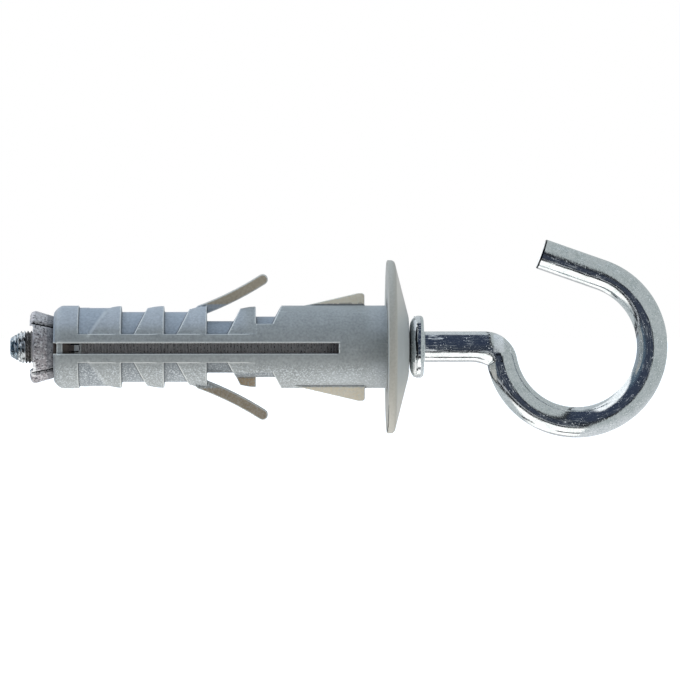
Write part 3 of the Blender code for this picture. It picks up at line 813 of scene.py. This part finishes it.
def finish_piece(name: str, bm: bmesh.types.BMesh, material: bpy.types.Material, body: Body, slot: Slot,
                 *nodes: str) -> None:
    """Turn a bmesh into a smooth piece that rides on a body and stands for CAD nodes.

    Args:
        name: the piece's name.
        bm: its mesh in the model's frame, freed here.
        material: its finish.
        body: the CAD body that it moves with.
        slot: not used.
        nodes: CAD nodes that it stands for.
    """
    piece = make_object(name, bm)
    piece.data.shade_smooth()
    piece.data.materials.append(material)
    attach(piece, body.value)
    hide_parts(*nodes)
    LOG.info("%s: %d faces, rides on %s", name, len(piece.data.polygons), body.value)


def read_rows(items: bpy.types.bpy_prop_collection, label: str, width: int, kind: type) -> np.ndarray:
    """Read one property of a mesh's points or edges.

    Args:
        items: the points or edges.
        label: the property's name.
        width: how many numbers it has.
        kind: the type of its numbers.

    Returns:
        An array with a row for each item.
    """
    values = np.empty(len(items) * width, dtype=kind)
    items.foreach_get(label, values)
    return values.reshape(-1, width)


def measure_relief(mesh: bpy.types.Mesh, gain: float, rounds: int) -> np.ndarray:
    """Measure on each point how far it stands out: 1 on an edge, 0 in a crease and 0.5 on a plain face.

    Args:
        mesh: an evenly meshed skin.
        gain: how strongly a bend counts.
        rounds: how often the values are evened out.

    Returns:
        One value for each point.
    """
    count = len(mesh.vertices)
    places = read_rows(mesh.vertices, "co", 3, np.float32)
    normals = read_rows(mesh.vertex_normals, "vector", 3, np.float32)
    first, second = read_rows(mesh.edges, "vertices", 2, np.int32).T
    step = places[second] - places[first]
    length = np.linalg.norm(step, axis=1)
    dip = np.bincount(first, (step * normals[first]).sum(axis=1), count)
    dip -= np.bincount(second, (step * normals[second]).sum(axis=1), count)
    reach = np.bincount(first, length, count) + np.bincount(second, length, count)
    relief = np.clip(0.5 - gain * dip / reach, 0.0, 1.0)
    degree = np.bincount(first, minlength=count) + np.bincount(second, minlength=count) + 1
    for _ in range(rounds):
        near = np.bincount(first, relief[second], count) + np.bincount(second, relief[first], count)
        relief = (relief + near) / degree
    return relief


@dataclass(frozen=True)
class Softening:
    """How a CAD node's copy gets its moulded or cast edges."""

    voxel: float
    kept_share: float
    gain: float
    rounds: int
    passes: int = 2
    strength: float = 0.3
    merge: float = 0.002 * MM
    flat_limit: float = 0.08
    rings: int = 2

    def flats(self, mesh: bpy.types.Mesh, relief: np.ndarray) -> list[int]:
        """Find the points that lie away from every edge and crease.

        Args:
            mesh: the skin.
            relief: the relief of its points.

        Returns:
            Indices of the plain points.
        """
        first, second = read_rows(mesh.edges, "vertices", 2, np.int32).T
        near = np.abs(relief - 0.5) > self.flat_limit
        for _ in range(self.rings):
            grown = near.copy()
            grown[first] |= near[second]
            grown[second] |= near[first]
            near = grown
        return np.flatnonzero(~near).tolist()

    @staticmethod
    def modify(piece: bpy.types.Object, modifiers: dict[str, dict[str, object]]) -> bpy.types.Mesh:
        """Put an object through modifiers.

        Args:
            piece: the object, left with no modifier.
            modifiers: settings of each modifier by its Blender type.

        Returns:
            A new mesh with the result.
        """
        for kind, settings in modifiers.items():
            modifier = piece.modifiers.new(kind, kind)
            for name, value in settings.items():
                setattr(modifier, name, value)
        bpy.context.view_layer.update()
        evaluated = piece.evaluated_get(bpy.context.evaluated_depsgraph_get())
        mesh = bpy.data.meshes.new_from_object(evaluated)
        piece.modifiers.clear()
        return mesh

    def apply(self, node: str) -> bmesh.types.BMesh:
        """Copy a CAD node with its edges slightly rounded and their relief stored on its points.

        Points near an edge or a crease are kept when the copy is thinned.

        Args:
            node: the CAD node's name.

        Returns:
            The rounded copy, with the float attribute relief.
        """
        bm = bmesh.new()
        bm.from_mesh(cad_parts[node].data)
        bmesh.ops.remove_doubles(bm, verts=bm.verts, dist=self.merge)
        copy = make_object(f"{node}_merged", bm)
        dense = self.modify(copy, {
            "REMESH": {"mode": "VOXEL", "voxel_size": self.voxel},
            "LAPLACIANSMOOTH": {"iterations": self.passes, "lambda_factor": self.strength,
                                "use_volume_preserve": True}})
        copy.data = dense
        relief = measure_relief(dense, self.gain, self.rounds)
        dense.attributes.new("relief", "FLOAT", "POINT").data.foreach_set("value", relief.astype(np.float32))
        copy.vertex_groups.new(name="flats").add(self.flats(dense, relief), 1.0, "REPLACE")
        thinned = self.modify(copy, {"DECIMATE": {"ratio": self.kept_share, "vertex_group": "flats"}})
        bpy.data.objects.remove(copy, do_unlink=True)
        LOG.info("%s: %d faces before and %d after thinning", node, len(dense.polygons), len(thinned.polygons))
        bm = bmesh.new()
        bm.from_mesh(thinned)
        return bm


def wrap_grid(rings: list[tuple[float, float, float]], radius_at: Callable[[int, float], float],
              dirt_and_shade_at: Callable[[int, float], float], sides: int, girth_radius: float) -> bmesh.types.BMesh:
    """Wrap a grid round a centre line in the XZ plane, with a UV map that runs along it in millimetres.

    Args:
        rings: centre X, centre Z and heading of each ring.
        radius_at: radius for a ring's index and an angle, where angle 0 is above the line.
        dirt_and_shade_at: darkening for a ring's index and an angle, which goes to the float attribute dirt; it is
            painted shade, except for grime on the cut end.
        sides: points round each ring.
        girth_radius: the radius at which the UV map's width is true.

    Returns:
        A closed skin, if the first and the last ring have no radius.
    """
    bm = bmesh.new()
    last = len(rings) - 1
    bmesh.ops.create_grid(bm, x_segments=last, y_segments=sides, size=1.0)
    runs = [0.0]
    for (x0, z0, _), (x1, z1, _) in zip(rings, rings[1:]):
        runs.append(runs[-1] + sqrt((x1 - x0) ** 2 + (z1 - z0) ** 2))
    dirt_and_shade = bm.verts.layers.float.new("dirt_and_shade")
    along = bm.loops.layers.uv.new("along")
    for face in bm.faces:
        for loop in face.loops:
            index = round((loop.vert.co.x + 1) / 2 * last)
            loop[along].uv = (runs[index] / MM, (loop.vert.co.y + 1) * pi * girth_radius / MM)
    for vert in bm.verts:
        index = round((vert.co.x + 1) / 2 * last)
        angle = (vert.co.y + 1) * pi
        x, z, heading = rings[index]
        vert[dirt_and_shade] = dirt_and_shade_at(index, angle)
        radius = radius_at(index, angle)
        out = radius * cos(angle)
        vert.co = (x - out * sin(heading), radius * sin(angle), z + out * cos(heading))
    bmesh.ops.remove_doubles(bm, verts=bm.verts, dist=SEAM_MERGE)
    bmesh.ops.recalc_face_normals(bm, faces=bm.faces)
    return bm


def spin_profile(profile: list[Span], sides: int) -> bmesh.types.BMesh:
    """Spin a closed profile of (x, radius) points round the screw's axis.

    Args:
        profile: the section, in order.
        sides: steps in a full turn.

    Returns:
        The closed ring.
    """
    bm = bmesh.new()
    verts = [bm.verts.new((x, 0.0, r)) for x, r in profile]
    edges = [bm.edges.new(pair) for pair in zip(verts, verts[1:] + verts[:1])]
    bmesh.ops.spin(bm, geom=verts + edges, cent=(0, 0, 0), axis=(1, 0, 0), angle=2 * pi, steps=sides,
                   use_merge=True)
    bmesh.ops.remove_doubles(bm, verts=bm.verts, dist=SEAM_MERGE)
    bmesh.ops.recalc_face_normals(bm, faces=bm.faces)
    return bm


def round_corner(centre: Span, radius: float, start: float, end: float, steps: int = 6) -> list[Span]:
    """Give the points of an arc in (x, radius), from one angle to another and with both ends."""
    turns = [start + (end - start) * step / steps for step in range(steps + 1)]
    return [(centre[0] + radius * cos(turn), centre[1] + radius * sin(turn)) for turn in turns]


@dataclass
class ExpansionSleeve:
    """The slit, barbed nylon sleeve with its locking fins and ribs."""

    softening: Softening = Softening(0.1 * MM, 0.21, 3.4, rounds=1, rings=1)
    finish: SleeveFinish = SleeveFinish("sleeve_nylon_satin", (0.325, 0.345, 0.345), (0.305, 0.325, 0.325),
                                        (0.455, 0.39, 0.293), mm(6.3, 6.55))

    def build(self) -> None:
        """Build the moulding from the CAD sleeve, with moulded edges."""
        bm = self.softening.apply("expansion_sleeve")
        finish_piece("sleeve_moulding", bm, self.finish.material(), Body.PLUG, Slot.SLEEVE, "expansion_sleeve")


@dataclass
class CoverDisc:
    """The dished nylon disc that covers the hole."""

    radius: float = 13.0 * MM
    rim_thickness: float = 1.25 * MM
    rim_round: float = 0.7 * MM
    dish_slope: float = radians(8)
    thickness: float = 3.25 * MM
    face_outer: Span = mm(0.05, 4.7)
    face_inner_radius: float = 4.4 * MM
    bore_radius: float = 2.75 * MM
    relief_radius: float = 7.2 * MM
    relief_depth: float = 0.3 * MM
    seat_radius: float = 4.3 * MM
    seat_depth: float = 1.3 * MM
    edge_round: float = 0.18 * MM
    sides: int = 160
    finish: DiscFinish = DiscFinish("disc_nylon_satin", (0.410, 0.430, 0.420), (0.392, 0.412, 0.400),
                                    (0.432, 0.417, 0.368), mm(11.9, 12.8), grain_share=0.16,
                                    grain_depth=0.008 * MM)

    def build(self) -> None:
        """Spin the disc's section."""
        edge = self.edge_round
        face_drop, face_radius = self.face_outer
        section = [(self.relief_depth, self.seat_radius), (self.relief_depth, self.relief_radius)]
        section += round_corner((edge, self.relief_radius + edge), edge, -pi / 2, -pi, 4)
        section += round_corner((edge, self.radius - edge), edge, pi, pi / 2, 4)
        section += round_corner((self.rim_thickness - self.rim_round, self.radius - self.rim_round), self.rim_round,
                                pi / 2, self.dish_slope, 8)
        section += [(self.thickness - face_drop, face_radius), (self.thickness, self.face_inner_radius)]
        section += round_corner((self.thickness - edge, self.bore_radius + edge), edge, 0.0, -pi / 2, 4)
        section += [(self.seat_depth, self.bore_radius), (self.seat_depth, self.seat_radius)]
        bm = spin_profile(section, self.sides)
        finish_piece("disc_moulding", bm, self.finish.material(), Body.PLUG, Slot.DISC, "cover_disc")


@dataclass
class ConeNut:
    """The four-lobed die-cast nut."""

    softening: Softening = Softening(0.08 * MM, 0.7, 4.5, rounds=4)
    skin_depth: float = 0.07 * MM
    skin_size: float = 0.5 * MM
    smooth_radius: float = 2.95 * MM
    finish: CastZincFinish = CastZincFinish()

    def build(self) -> None:
        """Build the casting from the CAD nut, with soft edges and an uneven skin outside its bore."""
        bm = self.softening.apply("cone_nut")
        bm.normal_update()
        for vert in bm.verts:
            if sqrt(vert.co.y ** 2 + vert.co.z ** 2) > self.smooth_radius:
                swell = noise.fractal(vert.co / self.skin_size, 1.0, 2.0, 3)
                vert.co -= vert.normal * self.skin_depth * (0.5 + 0.5 * swell)
        finish_piece("nut_casting", bm, self.finish.material(), Body.NUT, Slot.CASTING, "cone_nut")


class Skin(Enum):
    """How a stretch of the wire is shaped."""

    PLAIN = 0
    THREADED = 1
    COLLAR = 2
    TIP = 3


@dataclass(frozen=True)
class Station:
    """One ring of the wire's skin."""

    x: float
    radius: float
    skin: Skin = Skin.PLAIN
    z: float = 0.0
    heading: float = 0.0
    swell: float = 0.0
    # the ring's darkening: painted shade, except for grime on the cut end
    dirt_and_shade: float = 0.0


@dataclass
class HookScrew:
    """The zinc-plated wire: pointed screw with a fine thread, upset collar, neck, round hook and cut end."""

    wire_radius: float = 2.3 * MM
    thread_radius: float = 2.45 * MM
    thread_depth: float = 0.28 * MM
    thread_flank: Span = (0.15, 0.65)
    # painted shade in the thread's roots
    thread_root_shade: float = 0.40
    pitch: float = 0.5 * MM
    tip_x: float = -56.4 * MM
    tip_radius: float = 1.35 * MM
    tip_length: float = 1.7 * MM
    tip_rings: tuple[Span, ...] = ((0.0, 0.0), (0.0, 0.75), (0.05 * MM, 0.95))
    tip_thread_depth: float = 0.16 * MM
    tip_thread_start: float = 0.25
    tip_thread_rise: float = 2.0
    # painted shade in the tip's thread roots
    tip_thread_shade: float = 0.5
    plain_gap: float = 0.3 * MM
    thread_end_x: float = -6.5 * MM
    collar_x: float = 3.43 * MM
    collar_end_x: float = 5.47 * MM
    collar_radius: float = 4.68 * MM
    collar_seat_radius: float = 2.9 * MM
    collar_shoulder: float = 1.15 * MM
    collar_corner: float = 0.5 * MM
    collar_fillet: float = 0.18 * MM
    collar_steps: tuple[int, int] = (14, 10)
    collar_from: float = 1.3
    foot_lead: float = 1.6
    dent_depth: float = 0.03 * MM
    dent_size: float = 0.9 * MM
    ridge_x: float = 4.14 * MM
    ridge_height: float = 0.1 * MM
    ridge_width: float = 0.09 * MM
    ridge_wander: float = 0.22 * MM
    ridge_turns: Span = (2.6, 4.3)
    ridge_swell: Span = (0.6, 1.1)
    # painted shade in the groove beside the collar's ridge, strongest on its front and back
    ridge_groove_shade: float = 9.0
    ridge_groove_shade_facing: float = 0.12
    ridge_groove_shade_fade: Span = (1.4, 2.6)
    nick_shift: float = 0.2 * MM
    nick_width: float = 0.08 * MM
    nick_share: float = 1.1
    bend_x: float = 14.75 * MM
    neck_radius: float = 2.6 * MM
    crease_z: float = -2.87 * MM
    crease_gap: float = 0.02 * MM
    swell_length: float = 2.2 * MM
    swell_power: float = 1.7
    bend_steps: tuple[int, int, int, int] = (60, 40, 140, 12)
    furrow_turn: float = radians(54.0)
    furrow_width: float = radians(5.0)
    furrow_depth: float = 0.14 * MM
    hook_radius: float = 11.385 * MM
    hook_end_angle: float = radians(70.7)
    tail_length: float = 9.7 * MM
    cut_round: float = 0.22 * MM
    cut_lead: float = 0.1 * MM
    cut_flat_share: float = 0.86
    cut_dirt: Span = (0.7, 0.25)
    sides: int = 56
    rings_per_turn: int = 8
    finish: ZincPlateFinish = ZincPlateFinish()

    def screw_stations(self) -> list[Station]:
        """Stations of the pointed tip and the thread.

        Returns:
            The stations in order from the tip.
        """
        stations = [Station(self.tip_x + run, self.tip_radius * share) for run, share in self.tip_rings]
        cone = (self.thread_radius - self.tip_radius) / self.tip_length
        step = self.pitch / self.rings_per_turn
        for index in range(2, floor((self.thread_end_x - self.tip_x) / step)):
            x = self.tip_x + index * step
            radius = min(self.thread_radius, self.tip_radius + cone * (x - self.tip_x))
            stations.append(Station(x, radius, Skin.THREADED if radius == self.thread_radius else Skin.TIP))
        return stations

    def collar_stations(self) -> list[Station]:
        """Stations of the plain shank inside the disc and of the upset collar.

        Returns:
            The stations in order.
        """
        wire, corner, fillet = self.wire_radius, self.collar_corner, self.collar_fillet
        rise = self.collar_radius - self.collar_seat_radius
        shoulder_steps, band_steps = self.collar_steps
        outline = [(self.thread_end_x + self.plain_gap, wire), (self.collar_x, wire),
                   (self.collar_x, self.collar_seat_radius)]
        for step in range(1, shoulder_steps + 1):
            turn = pi / 2 * step / shoulder_steps
            outline.append((self.collar_x + self.collar_shoulder * (1 - cos(turn)),
                            self.collar_seat_radius + rise * sin(turn)))
        start = self.collar_x + self.collar_shoulder
        stop = self.collar_end_x - corner
        outline += [(start + (stop - start) * step / band_steps, self.collar_radius)
                    for step in range(1, band_steps)]
        outline += round_corner((stop, self.collar_radius - corner), corner, pi / 2, 0.0)
        outline.append((self.collar_end_x, wire + fillet * self.foot_lead))
        outline += round_corner((self.collar_end_x + fillet, wire + fillet), fillet, pi, 1.5 * pi)
        return [Station(x, r, Skin.COLLAR if r > wire * self.collar_from else Skin.PLAIN) for x, r in outline]

    @staticmethod
    def reach(start: Vector, heading: Vector, centre: Vector, radius: float, far: bool) -> float:
        """Distance from a point to a circle along a heading.

        Args:
            start: the point, as X and Z.
            heading: unit vector of the way.
            centre: the circle's centre.
            radius: the circle's radius.
            far: whether the farther crossing counts.

        Returns:
            The distance in metres.
        """
        away = start - centre
        along = away.dot(heading)
        root = sqrt(along ** 2 - away.length_squared + radius ** 2)
        return root - along if far else -root - along

    def bend_stations(self) -> list[Station]:
        """Stations of the straight shank, the tight neck, the round hook and the tail with its cut end.

        The rings of the neck all turn about its inner crease, where the squeezed metal swells out.

        Returns:
            The stations in order.
        """
        wire = self.wire_radius
        pivot = Vector((self.bend_x, -self.neck_radius))
        centre = Vector((self.bend_x + sqrt((self.neck_radius + self.hook_radius) ** 2 - self.neck_radius ** 2), 0.0))
        joint = pivot + (centre - pivot).normalized() * self.neck_radius
        lean = asin(-self.crease_z / (self.hook_radius + wire))
        crease = Vector((centre.x - (self.hook_radius + wire) * cos(lean), self.crease_z))
        swell = self.reach(crease, Vector((0.0, 1.0)), pivot, self.neck_radius, True) - wire
        start = self.collar_end_x + self.plain_gap
        stations = []
        shank_steps, neck_steps, hook_steps, tail_steps = self.bend_steps
        for step in range(shank_steps):
            x = start + (crease.x - start) * step / shank_steps
            over = max(0.0, x - self.bend_x)
            share = max(0.0, 1 - (crease.x - x) / self.swell_length)
            z = sqrt(self.neck_radius ** 2 - over ** 2) - self.neck_radius
            stations.append(Station(x, wire, z=z, swell=swell * share ** self.swell_power))
        for step in range(neck_steps + 1):
            turn = (pi / 2 - lean) * step / neck_steps
            heading = Vector((sin(turn), cos(turn)))
            run = self.reach(crease, heading, pivot, self.neck_radius, True)
            if (crease + run * heading).x > joint.x:
                run = self.reach(crease, heading, centre, self.hook_radius, False)
            # furrow: a groove along the crease, which also gets painted shade
            furrow = exp(-((turn - self.furrow_turn) / self.furrow_width) ** 2)
            place = crease + run * heading
            stations.append(Station(place.x, wire, z=place.y, heading=-turn, dirt_and_shade=furrow,
                                    swell=run - wire - self.crease_gap - self.furrow_depth * furrow))
        first = pi + lean
        last = 2 * pi + self.hook_end_angle
        for step in range(1, hook_steps + 1):
            turn = first + (last - first) * step / hook_steps
            stations.append(Station(centre.x + self.hook_radius * cos(turn), wire, z=self.hook_radius * sin(turn),
                                    heading=turn + pi / 2))
        end = stations[-1]
        cut, length = self.cut_round, self.tail_length
        rim_dirt, face_dirt = self.cut_dirt
        runs = [(length * step / tail_steps, wire, 0.0) for step in range(1, tail_steps)]
        runs += [(length - cut - self.cut_lead, wire, 0.0)]
        runs += [(length - cut + x, r, rim_dirt) for x, r in round_corner((0.0, wire - cut), cut, pi / 2, 0.0, 5)]
        runs += [(length, wire * self.cut_flat_share, face_dirt), (length, 0.0, face_dirt)]
        stations += [Station(end.x + run * cos(end.heading), radius, z=end.z + run * sin(end.heading),
                             heading=end.heading, dirt_and_shade=dirt_and_shade) for run, radius, dirt_and_shade in runs]
        return stations

    def thread_drop(self, x: float, angle: float) -> float:
        """Depth of the right-hand thread under its crest, as a share of its full depth.

        Args:
            x: place along the screw.
            angle: place round the screw.

        Returns:
            The share, 0 to 1.
        """
        flank_start, flank_width = self.thread_flank
        slope = abs(2 * ((x / self.pitch + angle / (2 * pi)) % 1.0) - 1)
        return min(1.0, max(0.0, (slope - flank_start) / flank_width))

    def collar_ridge(self, x: float, angle: float) -> float:
        """Height of the uneven ridge that the upsetting dies leave round the collar.

        Args:
            x: place along the screw.
            angle: place round the screw.

        Returns:
            The height in metres, below zero in the nick beside the ridge.
        """
        round_place = Vector((cos(angle), sin(angle), 0.0))
        wander_turns, swell_turns = self.ridge_turns
        least, gain = self.ridge_swell
        off = x - self.ridge_x - self.ridge_wander * noise.noise(round_place * wander_turns)
        swell = least + gain * noise.noise(round_place * swell_turns + Vector((4.0, 0.0, 1.0)))
        ridge = exp(-(off / self.ridge_width) ** 2)
        nick = exp(-((off - self.nick_shift) / self.nick_width) ** 2)
        return self.ridge_height * swell * (ridge - self.nick_share * nick)

    def skin_radius(self, station: Station, angle: float) -> float:
        """Radius of the skin at one place.

        Args:
            station: the ring.
            angle: place round the wire.

        Returns:
            The radius in metres.
        """
        match station.skin:
            case Skin.THREADED:
                return self.thread_radius - self.thread_depth * self.thread_drop(station.x, angle)
            case Skin.TIP:
                share = (station.x - self.tip_x) / self.tip_length - self.tip_thread_start
                cut = self.tip_thread_depth * self.thread_drop(station.x, angle)
                return station.radius - cut * min(1.0, max(0.0, share) * self.tip_thread_rise)
            case Skin.COLLAR:
                place = Vector((station.x, station.radius * cos(angle), station.radius * sin(angle)))
                dent = self.dent_depth * (noise.noise(place / self.dent_size) - 0.3)
                return min(self.collar_radius, station.radius + self.collar_ridge(station.x, angle) + dent)
            case _:
                return station.radius + station.swell * max(0.0, -cos(angle)) ** 3

    def skin_dirt_and_shade(self, station: Station, angle: float) -> float:
        """The skin's darkening at one place: painted shade in the thread's roots, in the groove beside the collar's
        ridge and in the crease, and grime on the cut.

        Args:
            station: the ring.
            angle: place round the wire.

        Returns:
            The darkening, 0 to 1.
        """
        match station.skin:
            case Skin.THREADED:
                return self.thread_root_shade * self.thread_drop(station.x, angle)
            case Skin.TIP:
                return self.tip_thread_shade * self.thread_drop(station.x, angle)
            case Skin.COLLAR:
                reach, rate = self.ridge_groove_shade_fade
                fade = min(1.0, max(0.0, reach - abs(cos(angle) - self.ridge_groove_shade_facing) * rate))
                return max(0.0, -self.ridge_groove_shade * fade * self.collar_ridge(station.x, angle) / self.ridge_height)
            case _:
                return station.dirt_and_shade * (max(0.0, -cos(angle)) ** 0.7 if station.swell else 1.0)

    def build(self) -> None:
        """Wrap the wire's skin round its centre line."""
        stations = self.screw_stations() + self.collar_stations() + self.bend_stations()
        centre_line = [(station.x, station.z, station.heading) for station in stations]
        bm = wrap_grid(centre_line, lambda index, angle: self.skin_radius(stations[index], angle),
                       lambda index, angle: self.skin_dirt_and_shade(stations[index], angle), self.sides, self.wire_radius)
        finish_piece("hook_wire", bm, self.finish.material(), Body.SCREW, Slot.PLATE, "hook")


@dataclass
class Studio:
    """Pale floor, soft light and the camera at the photograph's angle.

    What the metal mirrors is laid out by side and rise, the way that a mirror has to face to show it.
    What lights the nylon is laid out by the way that the light comes from.
    """

    BLACK = (0.012, 0.014, 0.018)
    LINE = (0.08, 0.08, 0.09)
    LINE_RISE = (-0.695, -0.635, 0.015)
    LEFTWARD = ("right", (0.1, -0.6))

    camera_x: float = -19.4 * MM
    camera_distance: float = 670.0 * MM
    camera_lean: float = radians(2.2)
    aim: Span = mm(-7.02, 1.03)
    lens: float = 236.5
    floor_z: float = -75.0 * MM
    floor_size: float = 4.0
    floor_colour: Colour = (0.9, 0.9, 0.9)
    floor_glow: float = 0.45
    card_tilt: float = -0.12
    dark_rise: Span = (0.3, -0.1)
    dark_colours: tuple[Colour, Colour] = ((0.028, 0.041, 0.076), (0.036, 0.047, 0.074))
    blue: Layer = Layer((0.09, 0.14, 0.19), {"side": (-0.35, -0.6)})
    left: Layer = Layer((0.33, 0.38, 0.42), {"side": (-0.68, -0.84)})
    table_edge: Layer = Layer(BLACK, {"rise": (-0.18, -0.21)})
    glint: Layer = Layer((0.55, 0.57, 0.60), {"rise": (-0.255, -0.235, 0.015)})
    table: Layer = Layer((1.55, 1.53, 1.48), {"rise": (-0.33, -0.38)}, (0.60, 0.64, 0.65), ("side", (-0.36, -0.48)))
    right_line: Layer = Layer(LINE, {"rise": LINE_RISE, "side": (-0.10, 1.0, 0.04)})
    left_line: Layer = Layer(LINE, {"rise": LINE_RISE, "side": (-0.46, -0.34, 0.03)})
    skirt: Layer = Layer((0.60, 0.60, 0.61), {"rise": (-0.83, -0.88)})
    window: Layer = Layer((1.28, 1.30, 1.32), {"side": (-0.10, -0.16), "rise": (0.42, 0.50)})
    crown: Layer = Layer((0.60, 0.64, 0.66), {"rise": (0.77, 0.83)})
    card_seam: Layer = Layer(BLACK, {"turned": (0.045, 0.075, 0.012), "rise": (-0.32, -0.22)})
    card: Layer = Layer((0.50, 0.54, 0.54), {"turned": (0.07, 0.09)}, (0.78, 0.80, 0.82), ("rise", (-0.2, -0.75)))
    level_light: Colour = (0.66, 0.68, 0.69)
    below: Layer = Layer((2.55, 2.57, 2.55), {"up": (-0.1, -0.6)}, (1.85, 1.9, 1.95), LEFTWARD)
    above: Layer = Layer((1.3, 1.48, 1.7), {"up": (0.0, 0.6)}, (1.55, 1.80, 2.1), LEFTWARD)
    behind: Layer = Layer((0.22, 0.225, 0.225), {"front": (0.25, 0.75, 0.0, 0.85)})
    ahead: Layer = Layer((0.175, 0.18, 0.18), {"front": (-0.2, -0.7, 0.0, 0.96), "right": (0.45, -0.05)})
    rightward: Layer = Layer((0.30, 0.31, 0.32), {"right": (0.0, 0.7, 0.0, 0.6)})

    def build_camera(self) -> None:
        """Add the camera, which looks nearly along +Y, a degree to the right and two degrees down."""
        data = bpy.data.cameras.new("camera")
        data.lens, data.sensor_width = self.lens, 36.0
        data.clip_start, data.clip_end = 0.01, 20.0
        camera = bpy.data.objects.new("camera", data)
        away = self.camera_distance * cos(self.camera_lean)
        camera.location = (self.camera_x, -away, self.aim[1] + self.camera_distance * sin(self.camera_lean))
        camera.rotation_euler = (pi / 2 - self.camera_lean, 0.0, -atan2(self.aim[0] - self.camera_x, away))
        bpy.context.scene.collection.objects.link(camera)
        bpy.context.scene.camera = camera

    def build_floor(self) -> None:
        """Add the pale floor, which only the camera sees and which keeps the object's shadow."""
        bm = bmesh.new()
        bmesh.ops.create_grid(bm, x_segments=1, y_segments=1, size=self.floor_size / 2)
        bmesh.ops.translate(bm, verts=bm.verts, vec=(0.0, 0.0, self.floor_z))
        ground = make_object("floor", bm)
        material = bpy.data.materials.new("floor_pale")
        material.use_nodes = True
        bench = NodeBench(material.node_tree)
        material.node_tree.nodes.clear()
        diffuse = bench.add("BsdfDiffuse", self.floor_colour)
        glow = bench.add("Emission", others={"Strength": self.floor_glow})
        lit = bench.add("AddShader", diffuse.outputs[0], glow.outputs[0])
        clear = bench.add("BsdfTransparent")
        behind = bench.add("NewGeometry").outputs["Backfacing"]
        bench.add("OutputMaterial", bench.add("MixShader", behind, lit.outputs[0], clear.outputs[0]).outputs[0])
        ground.data.materials.append(material)
        for ray in ("diffuse", "glossy", "transmission", "shadow"):
            setattr(ground, f"visible_{ray}", False)

    def mirrored(self, bench: NodeBench, toward: Socket) -> Socket:
        """Colour what the metal mirrors: dark in front, white below and above left, pale on the right.

        Args:
            bench: the world's bench.
            toward: the way that a ray goes.

        Returns:
            The colour.
        """
        ahead = (0.0, cos(self.camera_lean), -sin(self.camera_lean))
        facing = bench.vector("NORMALIZE", bench.vector("SUBTRACT", toward, ahead))
        side, _, rise = bench.add("SeparateXYZ", facing).outputs
        turned = bench.math("MULTIPLY_ADD", bench.math("MAXIMUM", rise, 0.0), self.card_tilt, side)
        layers = (self.blue, self.left, self.table_edge, self.glint, self.table, self.right_line, self.left_line,
                  self.skirt, self.window, self.crown, self.card_seam, self.card)
        return bench.lay(bench.mix(bench.ramp(rise, *self.dark_rise), *self.dark_colours), layers,
                         {"side": side, "rise": rise, "turned": turned})

    def soft_light(self, bench: NodeBench, toward: Socket) -> Socket:
        """Colour the soft light: strong from below and above, weak from the front, the back and the right.

        Args:
            bench: the world's bench.
            toward: the way that a ray goes.

        Returns:
            The colour.
        """
        measures = dict(zip(("right", "front", "up"), bench.add("SeparateXYZ", toward).outputs))
        layers = (self.below, self.above, self.behind, self.ahead, self.rightward)
        return bench.lay(self.level_light, layers, measures)

    def build_world(self) -> None:
        """Light the object from a soft studio that shows as white behind it."""
        world = bpy.data.worlds.new("studio")
        world.use_nodes = True
        bpy.context.scene.world = world
        bench = NodeBench(world.node_tree)
        world.node_tree.nodes.clear()
        toward = bench.add("TexCoord").outputs["Generated"]
        rays = bench.add("LightPath").outputs
        colour = bench.coat(self.soft_light(bench, toward), (rays["Is Glossy Ray"], self.mirrored(bench, toward)),
                            (bench.any_of(rays["Is Camera Ray"], rays["Is Transmission Ray"]), (1.0, 1.0, 1.0)))
        bench.add("OutputWorld", bench.add("Background", colour).outputs[0])

    def build(self) -> None:
        """Build the stage and set the plain view transform."""
        self.build_floor()
        self.build_world()
        self.build_camera()
        bpy.context.scene.view_settings.view_transform = "Standard"


def main() -> None:
    """Build the stage and every sub-assembly in order."""
    logging.basicConfig(level=logging.INFO, format="%(message)s")
    for part in (Studio(), ExpansionSleeve(), CoverDisc(), ConeNut(), HookScrew()):
        part.build()
        LOG.info("%s built", type(part).__name__)


if __name__ == "__main__":
    main()
